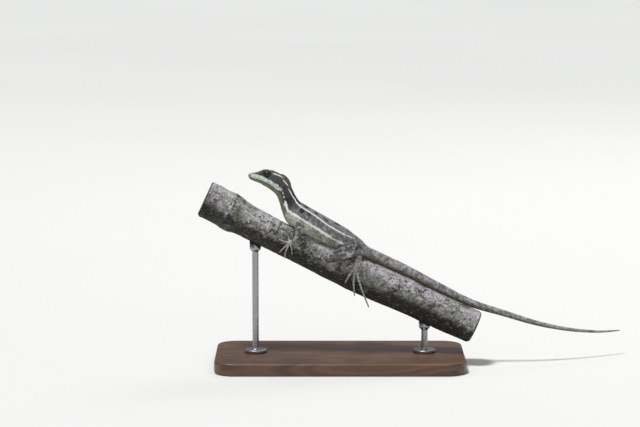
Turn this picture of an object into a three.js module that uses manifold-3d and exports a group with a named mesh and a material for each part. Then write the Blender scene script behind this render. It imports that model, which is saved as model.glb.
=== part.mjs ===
// A striped basilisk, head up on a sloping length of branch, held by a plain display stand.
// Millimetres, +Z up. The origin is the centre of the stand's underside, +X runs down the branch
// towards the tail, and the animal's left side faces -Y.
// Lizard and branch are built in the perch's own frame: x down the branch, z up from its axis.
import * as THREE from "three";
import { mergeVertices } from "three/addons/utils/BufferGeometryUtils.js";
import Module from "manifold-3d";

const wasm = await Module();
wasm.setup();

const GAP = 0.3; // between pieces that touch

// Stand
const BASE = { length: 200, depth: 100, thick: 10, corner: 16, bevel: 1.5 };
const ROD = { radius: 2.6, flange: 9, flangeThick: 2.4, saddle: 4.6, saddleHigh: 5 };
const RODS = { upper: -66, lower: 84 }; // places along the branch

// Branch
const PERCH = { slope: 25, x: -8, z: 84 }; // where the branch's axis passes over the base
const BRANCH = { radius: 13.4, upperEnd: -112, lowerEnd: 128, upperBow: 0.00032, lowerBow: 0.00004 };
const SWELL = { x: 48, rise: 0.9, spread: 28 }; // a slight swelling behind the hips
const KNOT = { x: -88, rise: 1.5, spread: 6 };
const THICK_END = { x: -92, rise: 1.0, blend: 5 }; // the branch is a little stouter past the knot

// Materials
const finish = (color, roughness, metalness = 0) =>
  new THREE.MeshStandardMaterial({ color, roughness, metalness });
const SKIN = finish(0x6b6256, 0.7);
const PALE_SKIN = finish(0x8d8a76, 0.7);
const DARK_SKIN = finish(0x4a443d, 0.7);
const EYE = finish(0x17120f, 0.15);
const BARK = finish(0x77736a, 0.9);
const WALNUT = finish(0x4a3325, 0.5);
const STEEL = finish(0xa8a9ab, 0.35, 1);

// Small maths

const vec = (x, y, z) => new THREE.Vector3(x, y, z);
const degrees = (angle) => (angle * Math.PI) / 180;
const bump = (x, centre, spread) => Math.exp(-(((x - centre) / spread) ** 2));
const step = (x) => 1 / (1 + Math.exp(-x));

// The smooth curve through equally numbered values, at a fractional number.
function through(values, at) {
  const last = values.length - 1;
  const i = Math.min(Math.max(Math.floor(at), 0), last - 1);
  const t = at - i;
  const [a, b, c, d] = [i - 1, i, i + 1, i + 2].map((k) => values[Math.min(Math.max(k, 0), last)]);
  return (
    b + 0.5 * t * (c - a + t * (2 * a - 5 * b + 4 * c - d + t * (3 * (b - c) + d - a)))
  );
}

const throughPoints = (points, at) =>
  vec(...["x", "y", "z"].map((axis) => through(points.map((p) => p[axis]), at)));

// Solids

// A three.js geometry as a solid.
function solidOf(geometry) {
  const bare = new THREE.BufferGeometry();
  const loose = geometry.index ? geometry.toNonIndexed() : geometry;
  bare.setAttribute("position", loose.attributes.position);
  const merged = mergeVertices(bare, 1e-4);
  const mesh = new wasm.Mesh({
    numProp: 3,
    vertProperties: merged.attributes.position.array,
    triVerts: new Uint32Array(merged.index.array),
  });
  return new wasm.Manifold(mesh);
}

// A solid as a three.js geometry.
function geometryOf(solid) {
  const { vertProperties, triVerts, numProp, numVert } = solid.getMesh();
  const places = new Float32Array(numVert * 3);
  for (let i = 0; i < numVert; i++) {
    places.set(vertProperties.subarray(i * numProp, i * numProp + 3), i * 3);
  }
  return new THREE.BufferGeometry()
    .setAttribute("position", new THREE.BufferAttribute(places, 3))
    .setIndex(new THREE.BufferAttribute(triVerts, 1));
}

const union = (solids) => solids.reduce((all, one) => all.add(one));
const largest = (solid) =>
  solid.decompose().reduce((best, one) => (one.volume() > best.volume() ? one : best));

// A sine or cosine pushed outwards, which rounds a square where square is under 1.
const fuller = (n, square) => Math.sign(n) * Math.abs(n) ** square;

// A closed tube. ring(v) gives, for v from 0 to 1, its centre, its side and up directions and its half
// sizes: wide to the sides, high above and low below. square under 1 makes its corners fuller.
function tube(ring, around, along) {
  const shape = new THREE.CylinderGeometry(1, 1, 1, around, along);
  const places = shape.attributes.position;
  const rings = Array.from({ length: along + 1 }, (_, i) => ring(i / along));
  for (let i = 0; i < places.count; i++) {
    const r = rings[Math.round((0.5 - places.getY(i)) * along)];
    const across = fuller(places.getX(i), r.square ?? 1) * r.wide;
    const upward = fuller(places.getZ(i), r.square ?? 1);
    const p = r.centre
      .clone()
      .addScaledVector(r.side, across)
      .addScaledVector(r.up, upward * (upward > 0 ? r.high : r.low));
    places.setXYZ(i, p.x, p.y, p.z);
  }
  return solidOf(shape);
}

// Side and up directions square to a tangent, with up as near as can be to the one asked for.
function framed(tangent, upward) {
  const side = upward.clone().cross(tangent).normalize();
  return { side, up: tangent.clone().cross(side).normalize() };
}

const FINE_STEPS = 48; // places along a limb where its length is measured
const NEARBY = 0.02; // how far either side of a place its direction is taken
const TIP_LEFT = 0.0025; // the squared share of the radius left at a limb's rounded end

// A tube with round ends through points, with a radius at each. flat thins it along upward.
function limb(points, radii, { around = 10, along = 10, grow = 0, flat = 1, upward = vec(0, 0, 1) }) {
  const last = points.length - 1;
  const trail = Array.from({ length: FINE_STEPS + 1 }, (_, i) =>
    throughPoints(points, (i / FINE_STEPS) * last),
  );
  const lengths = trail.map(() => 0);
  for (let i = 1; i <= FINE_STEPS; i++) {
    lengths[i] = lengths[i - 1] + trail[i].distanceTo(trail[i - 1]);
  }
  const total = lengths[FINE_STEPS];
  const [first, end] = [radii[0] + grow, radii[last] + grow];
  const ring = (v) => {
    const eased = (v + (1 - Math.cos(Math.PI * v)) / 2) / 2;
    const run = -first + eased * (first + total + end);
    const inside = Math.min(Math.max(run, 0), total);
    const i = Math.min(lengths.findIndex((l) => l >= inside - 1e-9), FINE_STEPS);
    const k = Math.max(i, 1);
    const part = (inside - lengths[k - 1]) / (lengths[k] - lengths[k - 1]);
    const at = ((k - 1 + part) / FINE_STEPS) * last;
    const tangent = throughPoints(points, Math.min(at + NEARBY, last))
      .sub(throughPoints(points, Math.max(at - NEARBY, 0)))
      .normalize();
    const centre = throughPoints(points, at).addScaledVector(tangent, run - inside);
    const past = Math.abs(run - inside) / (run < 0 ? first : end);
    const radius = (through(radii, at) + grow) * Math.sqrt(Math.max(1 - past * past, TIP_LEFT));
    return { centre, ...framed(tangent, upward), wide: radius, high: radius * flat, low: radius * flat };
  };
  return tube(ring, around, along);
}

// An ellipsoid. turn tips it about the y axis, in degrees, its +x end down.
function ball(centre, [rx, ry, rz], { turn = 0, around = 12, along = 8, grow = 0 } = {}) {
  const shape = new THREE.SphereGeometry(1, around, along);
  shape.scale(rx + grow, rz + grow, ry + grow);
  shape.rotateX(Math.PI / 2);
  shape.rotateY(degrees(turn));
  shape.translate(centre.x, centre.y, centre.z);
  return solidOf(shape);
}

// Nodes

const model = new THREE.Group();
const perch = new THREE.Group();
perch.position.set(PERCH.x, 0, PERCH.z);
perch.rotation.y = degrees(PERCH.slope);
model.add(perch);

const taken = []; // solids, a gap bigger than the nodes made so far, in the perch's frame

// Adds one node. pieces and cuts are functions of how far to grow, joined first and then cut out.
function addNode(name, material, pieces, cuts = []) {
  const own = union(pieces.map((piece) => piece(0)));
  const cut = [...cuts.map((piece) => piece(0)), ...taken];
  const solid = largest(cut.reduce((left, other) => left.subtract(other), own));
  const mesh = new THREE.Mesh(geometryOf(solid), material);
  mesh.name = name;
  perch.add(mesh);
  taken.push(union(pieces.map((piece) => piece(GAP))));
  return solid;
}

// Branch

const bow = (x) => (x < 0 ? BRANCH.upperBow : BRANCH.lowerBow) * x * x;
const girth = (x) =>
  BRANCH.radius +
  0.4 * Math.sin(x / 17 + 1) +
  SWELL.rise * bump(x, SWELL.x, SWELL.spread) +
  KNOT.rise * bump(x, KNOT.x, KNOT.spread) +
  THICK_END.rise * step((THICK_END.x - x) / THICK_END.blend);
const uneven = (x, around) => 0.3 * Math.sin(2 * around + x / 29) + 0.2 * Math.sin(3 * around - x / 13);

// A point over the bark: x along the branch, the angle round it from the top towards the side
// given, -1 for the left and 1 for the right, and how far it stands off the bark.
function overBark(x, angle, lift, side = -1) {
  const around = degrees(angle) * side;
  const r = girth(x) + uneven(x, around) + lift;
  return vec(x, r * Math.sin(around), bow(x) + r * Math.cos(around));
}

function branch(grow) {
  const [start, end] = [BRANCH.upperEnd - grow, BRANCH.lowerEnd + grow];
  const along = 32;
  const shape = new THREE.CylinderGeometry(1, 1, 1, 18, along);
  const places = shape.attributes.position;
  for (let i = 0; i < places.count; i++) {
    const [across, upward] = [places.getX(i), places.getZ(i)];
    const v = 0.5 - places.getY(i);
    const x = start + v * (end - start);
    const around = Math.atan2(across, upward);
    const edge = v === 0 || v === 1 ? 0.8 : 0;
    const r = Math.hypot(across, upward) * (girth(x) + uneven(x, around) + grow - edge);
    places.setXYZ(i, x, r * Math.sin(around), bow(x) + r * Math.cos(around));
  }
  return solidOf(shape);
}
addNode("perch_branch", BARK, [branch]);

// Body: one run of sections from the snout to the tip of the tail

const onBark = (x, y, r) => {
  const away = (Math.asin(y / (BRANCH.radius + r)) * 180) / Math.PI;
  return overBark(x, away, r + GAP + 0.15, 1).z;
};
const section = (x, y, z, high, low, wide, square = 1) => ({ x, y, z, high, low, wide, square });
const BODY = [
  section(-88.4, -1.4, 35.8, 0.6, 0.6, 0.8),
  section(-87.5, -1.4, 36.0, 2.0, 2.0, 2.3, 0.9),
  section(-85.0, -1.4, 36.5, 2.9, 3.2, 3.4, 0.82),
  section(-81.0, -1.4, 38.0, 4.0, 4.5, 4.6, 0.8),
  section(-76.5, -1.4, 39.6, 6.4, 6.1, 5.5, 0.8),
  section(-71.0, -1.5, 40.1, 7.4, 6.8, 6.3, 0.84),
  section(-65.5, -1.5, 39.6, 7.7, 7.2, 6.9, 0.9),
  section(-60.5, -1.5, 37.9, 7.4, 7.0, 6.8, 0.95),
  section(-56.3, -1.6, 34.7, 7.2, 6.4, 5.9),
  section(-52.4, -1.6, 30.6, 7.6, 6.2, 5.7),
  section(-47.5, -1.7, 26.7, 8.2, 7.6, 6.4),
  section(-41.5, -1.8, 24.0, 9.3, 10.0, 7.7),
  section(-33.0, -1.9, 22.8, 9.7, 11.0, 8.4),
  section(-20.0, -2.0, 22.2, 9.3, 11.5, 9.0),
  section(-5.0, -1.8, 21.6, 8.6, 11.0, 8.9),
  section(6.0, -1.5, 20.8, 7.7, 9.2, 8.0),
  section(14.0, -1.1, 19.9, 6.5, 7.0, 6.6),
  section(21.5, -0.6, onBark(21.5, -0.6, 4.7), 4.9, 4.7, 4.5),
  section(31.0, 0.0, onBark(31, 0, 4.4), 4.6, 4.4, 4.0),
  section(58.0, 1.2, onBark(58, 1.2, 4.1), 4.4, 4.1, 3.5),
  section(88.0, 2.2, onBark(88, 2.2, 3.6), 3.7, 3.6, 3.0),
  section(117.0, 2.6, onBark(117, 2.6, 3.0), 3.0, 3.0, 2.5),
  section(146.0, 4.6, 20.4, 2.4, 2.4, 2.0),
  section(174.0, 9.6, 23.6, 1.9, 1.9, 1.6),
  section(201.0, 18.4, 28.8, 1.4, 1.4, 1.2),
  section(225.0, 30.0, 35.6, 1.0, 1.0, 0.9),
  section(243.0, 42.0, 42.6, 0.5, 0.5, 0.5),
];
const PARTED = { head: 8.1, neck: 10.6, torso: 17.0, tail: [18.9, 20.4, 21.9, 23.6] };

function bodyRing(at) {
  const of = (key) => through(BODY.map((s) => s[key]), at);
  const centre = vec(of("x"), of("y"), of("z"));
  const [ahead, behind] = [Math.min(at + 0.05, BODY.length - 1), Math.max(at - 0.05, 0)];
  const tangent = throughPoints(BODY, ahead).sub(throughPoints(BODY, behind)).normalize();
  const sizes = { wide: of("wide"), high: of("high"), low: of("low"), square: of("square") };
  return { centre, tangent, ...framed(tangent, vec(0, 0, 1)), ...sizes };
}

// A point on the skin: the section number, the angle round it from the top towards the side given,
// and how far it stands off the skin.
function onSkin(at, angle, side, lift = 0) {
  const r = bodyRing(at);
  const around = degrees(angle);
  const upward = fuller(Math.cos(around), r.square) * ((Math.cos(around) > 0 ? r.high : r.low) + lift);
  const across = fuller(Math.sin(around), r.square) * (r.wide + lift) * side;
  return r.centre.clone().addScaledVector(r.side, across).addScaledVector(r.up, upward);
}

// The stretch of body between two section numbers, with flat ends.
function bodyRun(from, to, around, along) {
  return (grow) =>
    tube(
      (v) => {
        const r = bodyRing(from + v * (to - from));
        const end = v === 0 ? -grow : v === 1 ? grow : 0;
        r.centre.addScaledVector(r.tangent, end);
        return { ...r, wide: r.wide + grow, high: r.high + grow, low: r.low + grow };
      },
      around,
      along,
    );
}

// The row of upright scales down the back: one small, swept-back wedge at each place.
const CREST = { pitch: 2.3, tall: 1.15, long: 1.5, thick: 0.55, sunk: 0.9, lean: 0.55 };
function crest(from, to, tallest) {
  const wedges = [];
  let previous = null;
  for (let at = from; at < to; at += 0.01) {
    const r = bodyRing(at);
    const foot = r.centre.clone().addScaledVector(r.up, r.high);
    if (previous && foot.distanceTo(previous) < CREST.pitch) continue;
    previous = foot;
    const tall = CREST.tall * tallest(at);
    wedges.push((grow) => {
      const cone = new THREE.ConeGeometry(1, 1, 4, 1);
      cone.rotateX(Math.PI / 2);
      cone.scale(CREST.long + grow, CREST.thick + grow, tall + CREST.sunk + grow);
      cone.applyMatrix4(new THREE.Matrix4().makeShear(0, 0, 0, 0, CREST.lean, 0));
      const middle = foot.clone().addScaledVector(r.up, (tall - CREST.sunk) / 2);
      cone.applyMatrix4(new THREE.Matrix4().makeBasis(r.tangent, r.side, r.up).setPosition(middle));
      return solidOf(cone);
    });
  }
  return wedges;
}

// Eyes

const EYEBALL = { x: -75.7, y: 3.9, z: 43.5, radius: 2.4 };
const MIDLINE = -1.45; // the head's middle, a little to the left of the branch's
const SIDES = { left: -1, right: 1 };
const eyeCentre = (side) => vec(EYEBALL.x, MIDLINE + side * EYEBALL.y, EYEBALL.z);
const eyeball = (side) => (grow) =>
  ball(eyeCentre(side), Array(3).fill(EYEBALL.radius), { around: 12, along: 9, grow });
for (const [word, side] of Object.entries(SIDES)) addNode("eye_" + word, EYE, [eyeball(side)]);

// Torso

addNode("torso", SKIN, [
  bodyRun(PARTED.neck, PARTED.torso, 24, 20),
  ...crest(PARTED.neck + 0.1, PARTED.torso - 0.05, (at) => 1 - 0.04 * (at - PARTED.neck)),
]);

// Neck

addNode("neck", DARK_SKIN, [
  bodyRun(PARTED.head, PARTED.neck, 22, 8),
  ...crest(PARTED.head + 0.75, PARTED.neck - 0.05, () => 0.85),
]);

// Head: skull and jaw, hood, brows, snout ridges and lids, with the mouth's line, nostrils and ears cut in.
// A pair of numbers is a place on the skin: section number, and angle from the top.

const HOOD = { x: -60.0, z: 42.2, long: 8.0, tall: 4.8, thick: 1.5, turn: 35 };
const HOOD_ROOT = { x: -61.0, z: 41.4, long: 7.4, tall: 4.6, thick: 3.2, turn: 33 };
const BROW = { x: -75.4, y: 3.6, z: 45.7, size: [4.4, 2.1, 0.9], turn: -14 };
const JAW_MUSCLE = { x: -64.6, y: 3.8, z: 37.9, size: [7.8, 3.5, 4.2], turn: 34 };
const SNOUT_RIDGE = { line: [[3.3, 52], [2.4, 50], [1.3, 52]], radii: [0.95, 0.8, 0.5], sunk: -0.35 };
const LID = { ring: 2.15, thick: 0.5, out: 1.25, flat: 0.84 };
const EAR = { at: 7.25, angle: 84, size: [1.4, 1.2, 1.9] };
const NOSTRIL = { at: 1.35, angle: 72, radius: 0.6 };
const MOUTH = { line: [[0.5, 97], [1.1, 102], [2.2, 109], [4, 115], [5.6, 118], [7.1, 109]], deep: 0.45 };

const lid = (side) => (grow) => {
  const shape = new THREE.TorusGeometry(LID.ring, LID.thick + grow, 5, 14);
  shape.scale(1, LID.flat, 1);
  shape.rotateX(Math.PI / 2);
  shape.translate(EYEBALL.x, MIDLINE + side * (EYEBALL.y + LID.out), EYEBALL.z);
  return solidOf(shape);
};
const plate = ({ x, z, long, tall, thick, turn }, detail) => (grow) =>
  ball(vec(x, MIDLINE, z), [long, thick, tall], { turn, grow, ...detail });
const headPieces = [
  bodyRun(0, PARTED.head, 24, 23),
  plate(HOOD, { around: 16, along: 10 }),
  plate(HOOD_ROOT, { around: 12, along: 8 }),
];
const headCuts = [];
for (const side of Object.values(SIDES)) {
  const centre = ({ x, y, z }) => vec(x, MIDLINE + side * y, z);
  const along = (line, lift) => line.map(([at, angle]) => onSkin(at, angle, side, lift));
  headPieces.push(
    (grow) => ball(centre(BROW), BROW.size, { turn: BROW.turn, around: 10, along: 6, grow }),
    (grow) => ball(centre(JAW_MUSCLE), JAW_MUSCLE.size, { turn: JAW_MUSCLE.turn, grow }),
    (grow) =>
      limb(along(SNOUT_RIDGE.line, SNOUT_RIDGE.sunk), SNOUT_RIDGE.radii, { around: 6, along: 6, grow }),
    lid(side),
  );
  headCuts.push(
    () => ball(onSkin(EAR.at, EAR.angle, side), EAR.size, { around: 10, along: 6 }),
    () => ball(onSkin(NOSTRIL.at, NOSTRIL.angle, side), Array(3).fill(NOSTRIL.radius), { around: 7, along: 5 }),
    () => limb(along(MOUTH.line, 0), MOUTH.line.map(() => MOUTH.deep), { around: 5, along: 12 }),
  );
}
addNode("head", DARK_SKIN, headPieces, headCuts);

// Tail: five lengths, the first ones on the branch and the last three past its end

const TAIL_BREAKS = [PARTED.torso, ...PARTED.tail, BODY.length - 1];
for (let i = 0; i < TAIL_BREAKS.length - 1; i++) {
  const [from, to] = [TAIL_BREAKS[i], TAIL_BREAKS[i + 1]];
  const scales = i === 0 ? crest(from + 0.05, to - 0.05, (at) => 0.8 - 0.15 * (at - from)) : [];
  addNode("tail_" + (i + 1), SKIN, [bodyRun(from, to, 12, i === 0 ? 10 : 8), ...scales]);
}

// Legs. A digit is a list of places over the bark: along the branch, round it, and off it.

const FINGER = { root: 1.0, tip: 0.6 };
const TOE = { root: 1.2, tip: 0.62 };
const CLAW = { long: 1.7, root: 0.42, tip: 0.14 };

const FRONT = {
  shoulder: [-36, 4.4, 19.5],
  elbow: [-32.6, 19.6, 12.0],
  wrist: [-34.2, 17.2, 4.8],
  palm: [-36.6, 84, 1.7],
  upper: [3.3, 3.0, 2.7],
  lower: [2.7, 2.7, 1.9],
  digits: [
    [[-37, 80, 1.4], [-38.3, 73, 1.3], [-39.6, 65, 0.75]],
    [[-37.4, 84, 1.5], [-41, 87, 1.5], [-45.4, 88, 0.75]],
    [[-37, 88, 1.5], [-39, 108, 1.5], [-40.3, 131, 0.75]],
    [[-36.4, 90, 1.5], [-36.2, 116, 1.5], [-34.4, 150, 0.8]],
    [[-35.8, 86, 1.4], [-33, 98, 1.4], [-30.6, 115, 0.75]],
  ],
};
const HIND = {
  hip: [13, 3.8, 18.2],
  knee: [-3.4, 22, 4.9],
  ankle: [18.2, 14.4, 19.4],
  sole: [19.4, 67, 1.9],
  thigh: [5.4, 4.9, 3.7],
  shin: [3.4, 3.4, 2.3],
  digits: [
    [[18.8, 56, 1.8], [15.6, 68, 1.4], [12.8, 82, 0.75]],
    [[18.6, 64, 1.7], [17.6, 94, 1.5], [17.3, 124, 0.8]],
    [[19.2, 67, 1.8], [21.2, 91, 1.5], [23.8, 115, 1.5], [28.5, 147, 3.4]],
    [[20.0, 66, 1.9], [23.0, 82, 1.6], [28.2, 106, 1.6], [35.2, 133, 2.6], [42.6, 152, 6.6]],
    [[20.6, 42, 2.8], [25.5, 60, 1.4], [30.4, 88, 0.8]],
  ],
};
const SHIFT = { front: -7, hind: 6 }; // how far along the branch the right feet are from the left ones
const CURL = { left: 1, right: 0.86 }; // how far round the branch each side's digits reach

function claw(from, tip, grow) {
  const ahead = tip.clone().sub(from).normalize();
  const end = tip.clone().addScaledVector(ahead, CLAW.long);
  const middle = tip.clone().addScaledVector(ahead, CLAW.long * 0.5);
  middle.z += 0.12;
  return limb([tip, middle, end], [CLAW.root, CLAW.root * 0.75, CLAW.tip], { around: 5, along: 4, grow });
}

function foot(places, joint, palm, digits, sizes, side, shift, curl) {
  const over = ([x, angle, lift]) => overBark(x + shift, angle * curl, lift, side);
  const middle = over(palm);
  const outward = middle.clone().setX(0).normalize();
  const pieces = [
    (grow) =>
      limb([joint, joint.clone().lerp(middle, 0.55).addScaledVector(outward, 0.3), middle], sizes.palm, {
        around: 9,
        along: 7,
        grow,
        flat: 0.8,
        upward: outward,
      }),
  ];
  for (const digit of digits) {
    const points = digit.map(over);
    const radii = points.map((_, i) =>
      THREE.MathUtils.lerp(sizes.digit.root, sizes.digit.tip, i / (points.length - 1)),
    );
    pieces.push((grow) => limb(points, radii, { around: 6, along: places, grow }));
    pieces.push((grow) => claw(points.at(-2), points.at(-1), grow));
  }
  return pieces;
}

for (const [word, side] of Object.entries(SIDES)) {
  const shift = side > 0 ? SHIFT : { front: 0, hind: 0 };
  const at = ([x, y, z], along, reach = 1) => vec(x + along * reach, MIDLINE + side * y, z);
  const shoulder = at(FRONT.shoulder, 0);
  const elbow = at(FRONT.elbow, shift.front, 0.6);
  const wrist = at(FRONT.wrist, shift.front);
  addNode("upper_arm_" + word, SKIN, [
    (grow) =>
      limb([shoulder, shoulder.clone().lerp(elbow, 0.5), elbow], FRONT.upper, { along: 9, grow }),
  ]);
  addNode("forearm_" + word, SKIN, [
    (grow) => limb([elbow, elbow.clone().lerp(wrist, 0.5), wrist], FRONT.lower, { along: 9, grow }),
  ]);
  const handSizes = { palm: [1.6, 1.9, 1.9], digit: FINGER };
  addNode(
    "hand_" + word,
    PALE_SKIN,
    foot(5, wrist, FRONT.palm, FRONT.digits, handSizes, side, shift.front, CURL[word]),
  );

  const hip = at(HIND.hip, 0);
  const knee = at(HIND.knee, shift.hind, 0.6);
  const ankle = at(HIND.ankle, shift.hind);
  addNode("thigh_" + word, SKIN, [
    (grow) =>
      limb([hip, hip.clone().lerp(knee, 0.5), knee], HIND.thigh, { around: 12, along: 10, grow }),
  ]);
  addNode("shin_" + word, SKIN, [
    (grow) => limb([knee, knee.clone().lerp(ankle, 0.45), ankle], HIND.shin, { along: 10, grow }),
  ]);
  const footSizes = { palm: [1.9, 1.8, 1.9], digit: TOE };
  addNode(
    "foot_" + word,
    SKIN,
    foot(7, ankle, HIND.sole, HIND.digits, footSizes, side, shift.hind, CURL[word]),
  );
}

// Stand: a flat base and two rods, each with a round flange below and a saddle under the branch

function baseShape() {
  const [x, y, r] = [BASE.length / 2 - BASE.bevel, BASE.depth / 2 - BASE.bevel, BASE.corner];
  const outline = new THREE.Shape();
  outline.moveTo(-x + r, -y);
  outline.lineTo(x - r, -y);
  outline.absarc(x - r, -y + r, r, -Math.PI / 2, 0);
  outline.absarc(x - r, y - r, r, 0, Math.PI / 2);
  outline.absarc(-x + r, y - r, r, Math.PI / 2, Math.PI);
  outline.absarc(-x + r, -y + r, r, Math.PI, Math.PI * 1.5);
  const shape = new THREE.ExtrudeGeometry(outline, {
    depth: BASE.thick - 2 * BASE.bevel,
    bevelThickness: BASE.bevel,
    bevelSize: BASE.bevel,
    bevelSegments: 2,
    curveSegments: 5,
  });
  return shape.translate(0, 0, BASE.bevel);
}

function addStandNode(name, material, solid) {
  const mesh = new THREE.Mesh(geometryOf(solid), material);
  mesh.name = name;
  model.add(mesh);
}
addStandNode("stand_base", WALNUT, solidOf(baseShape()));

model.updateMatrixWorld(true);
const branchInTheWorld = solidOf(geometryOf(branch(GAP)).applyMatrix4(perch.matrixWorld));
for (const [word, along] of Object.entries(RODS)) {
  const top = vec(along, 0, 0).applyMatrix4(perch.matrixWorld);
  const under = top.z - BRANCH.radius - 2;
  const foot = BASE.thick + GAP;
  const profile = [
    [0, foot],
    [ROD.flange, foot],
    [ROD.flange, foot + ROD.flangeThick - 0.7],
    [ROD.flange - 0.7, foot + ROD.flangeThick],
    [ROD.radius, foot + ROD.flangeThick],
    [ROD.radius, under - ROD.saddleHigh],
    [ROD.saddle, under - ROD.saddleHigh + 3],
    [ROD.saddle, top.z],
    [0, top.z],
  ].map(([r, z]) => new THREE.Vector2(r, z));
  const rod = new THREE.LatheGeometry(profile, 20).rotateX(Math.PI / 2).translate(top.x, 0, 0);
  addStandNode("stand_rod_" + word, STEEL, largest(solidOf(rod).subtract(branchInTheWorld)));
}

export default model;
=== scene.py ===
"""A striped basilisk on a sloping length of branch, held by a plain display stand.

Lizard and branch are worked out in millimetres in the perch's own frame: x runs down the branch,
y goes across it with the animal's left at -y, and z stands square to the slope. Finished meshes
are turned into the frame of the CAD model, in metres.
"""

import itertools
import logging
import math
from dataclasses import dataclass, field
from enum import Enum
from typing import Any, Iterable, Sequence

import bpy
import numpy as np
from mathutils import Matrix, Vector
from mathutils.bvhtree import BVHTree
from mathutils.kdtree import KDTree

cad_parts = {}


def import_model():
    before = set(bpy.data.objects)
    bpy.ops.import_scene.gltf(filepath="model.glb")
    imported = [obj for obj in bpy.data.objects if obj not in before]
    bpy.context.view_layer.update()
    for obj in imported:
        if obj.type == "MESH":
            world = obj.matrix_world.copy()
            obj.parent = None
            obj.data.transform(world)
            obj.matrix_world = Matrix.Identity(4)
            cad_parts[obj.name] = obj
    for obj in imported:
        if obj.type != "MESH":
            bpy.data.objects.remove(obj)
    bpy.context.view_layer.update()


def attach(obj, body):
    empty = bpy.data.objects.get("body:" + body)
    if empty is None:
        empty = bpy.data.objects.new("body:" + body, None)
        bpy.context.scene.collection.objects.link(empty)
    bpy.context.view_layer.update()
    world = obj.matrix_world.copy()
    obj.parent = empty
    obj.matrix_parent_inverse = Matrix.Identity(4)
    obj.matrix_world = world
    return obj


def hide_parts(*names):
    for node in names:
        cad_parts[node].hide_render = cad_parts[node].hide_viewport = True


Array = np.ndarray
Pair = tuple[float, float]
Triple = tuple[float, float, float]
log = logging.getLogger("striped_basilisk")

MM = 0.001
BATCH = 8192  # points that are compared with all targets at a time
UP = np.array([0.0, 0.0, 1.0])
SIDES = {"left": -1.0, "right": 1.0}


# Small maths


def through(values: Array, at: Array) -> Array:
    """Reads the smooth curve through equally numbered values.

    Args:
        values: One value, or one row of values, for each number.
        at: Fractional numbers.

    Returns:
        The curve's value at each of them.
    """
    values = np.asarray(values, float)
    at = np.asarray(at, float)
    last = len(values) - 1
    first = np.clip(np.floor(at).astype(int), 0, last - 1)
    t = at - first
    if values.ndim > 1:
        t = t[..., None]
    a, b, c, d = (values[np.clip(first + k, 0, last)] for k in (-1, 0, 1, 2))
    return b + 0.5 * t * (c - a + t * (2 * a - 5 * b + 4 * c - d + t * (3 * (b - c) + d - a)))


def unit(vectors: Array) -> Array:
    """Returns the vectors at length 1."""
    return vectors / np.maximum(np.linalg.norm(vectors, axis=-1, keepdims=True), 1e-9)


def ramp(value: Array, low: float, high: float) -> Array:
    """Rises smoothly from 0 at low to 1 at high, or falls where high is the lower one."""
    t = np.clip((np.asarray(value, float) - low) / (high - low), 0, 1)
    return t * t * (3 - 2 * t)


def swell(value: Array, centre: float, spread: float) -> Array:
    """Returns a round rise of height 1 at the centre."""
    return np.exp(-(((np.asarray(value, float) - centre) / spread) ** 2))


def fuller(value: Array, square: Array) -> Array:
    """Returns a sine or cosine pushed outwards, which squares a round section."""
    return np.sign(value) * np.abs(value) ** square


def hashed(cells: Array, seed: int) -> Array:
    """Gives each whole-numbered cell a number from 0 to 1.

    Args:
        cells: Cells of a lattice, three numbers each.
        seed: Which set of numbers.

    Returns:
        One number for each cell.
    """
    mixed = cells.astype(np.int64) @ np.array([73856093, 19349663, 83492791]) + seed * 2654435761
    mixed = (mixed ^ (mixed >> 13)) * 1274126177
    return ((mixed ^ (mixed >> 16)) & 0xFFFFFF) / 0xFFFFFF


def cloud(points: Array, size: float, octaves: int = 1, seed: int = 0) -> Array:
    """Smooth noise in space.

    Args:
        points: Where to read it.
        size: The width of its largest swells.
        octaves: How many finer layers it has, each half as large and half as strong.
        seed: Which noise.

    Returns:
        Values of about -1 to 1.
    """
    total = np.zeros(len(points))
    for layer in range(octaves):
        cells = points * (2**layer / size)
        base = np.floor(cells)
        part = cells - base
        part = part * part * (3 - 2 * part)
        for corner in itertools.product((0, 1), repeat=3):
            share = np.prod(np.where(corner, part, 1 - part), axis=1)
            total += share * (2 * hashed(base + corner, seed + layer) - 1) * 0.5**layer
    return total


def relax(points: Array, edges: Array, rounds: int) -> Array:
    """Smooths a mesh without shrinking it.

    Args:
        points: Its vertices.
        edges: Its edges.
        rounds: How often it is smoothed.

    Returns:
        The moved vertices.
    """
    first, second = edges.T
    near = np.bincount(edges.ravel(), minlength=len(points))[:, None]
    for step in (0.5, -0.52) * rounds:
        pulled = np.empty_like(points)
        for axis in range(3):
            pulled[:, axis] = np.bincount(first, points[second, axis], len(points))
            pulled[:, axis] += np.bincount(second, points[first, axis], len(points))
        points = points + step * (pulled / near - points)
    return points


def nearest_of(points: Array, targets: Array) -> tuple[Array, Array]:
    """Finds the nearest target of each point.

    Args:
        points: Points to place.
        targets: Points to choose from.

    Returns:
        The number of the nearest target, and how far it is.
    """
    chosen, far = [], []
    size = (targets**2).sum(1)
    for start in range(0, len(points), BATCH):
        some = points[start : start + BATCH]
        squares = size[None] - 2 * some @ targets.T
        pick = squares.argmin(1)
        rest = squares[np.arange(len(some)), pick] + (some**2).sum(1)
        chosen.append(pick)
        far.append(np.sqrt(np.maximum(rest, 0)))
    return np.concatenate(chosen), np.concatenate(far)


def tree_of(points: Array) -> KDTree:
    """Builds a search tree.

    Args:
        points: The points to find again.

    Returns:
        The tree, which gives their numbers.
    """
    tree = KDTree(len(points))
    for number, point in enumerate(points):
        tree.insert(point, number)
    tree.balance()
    return tree


# Meshes


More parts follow.
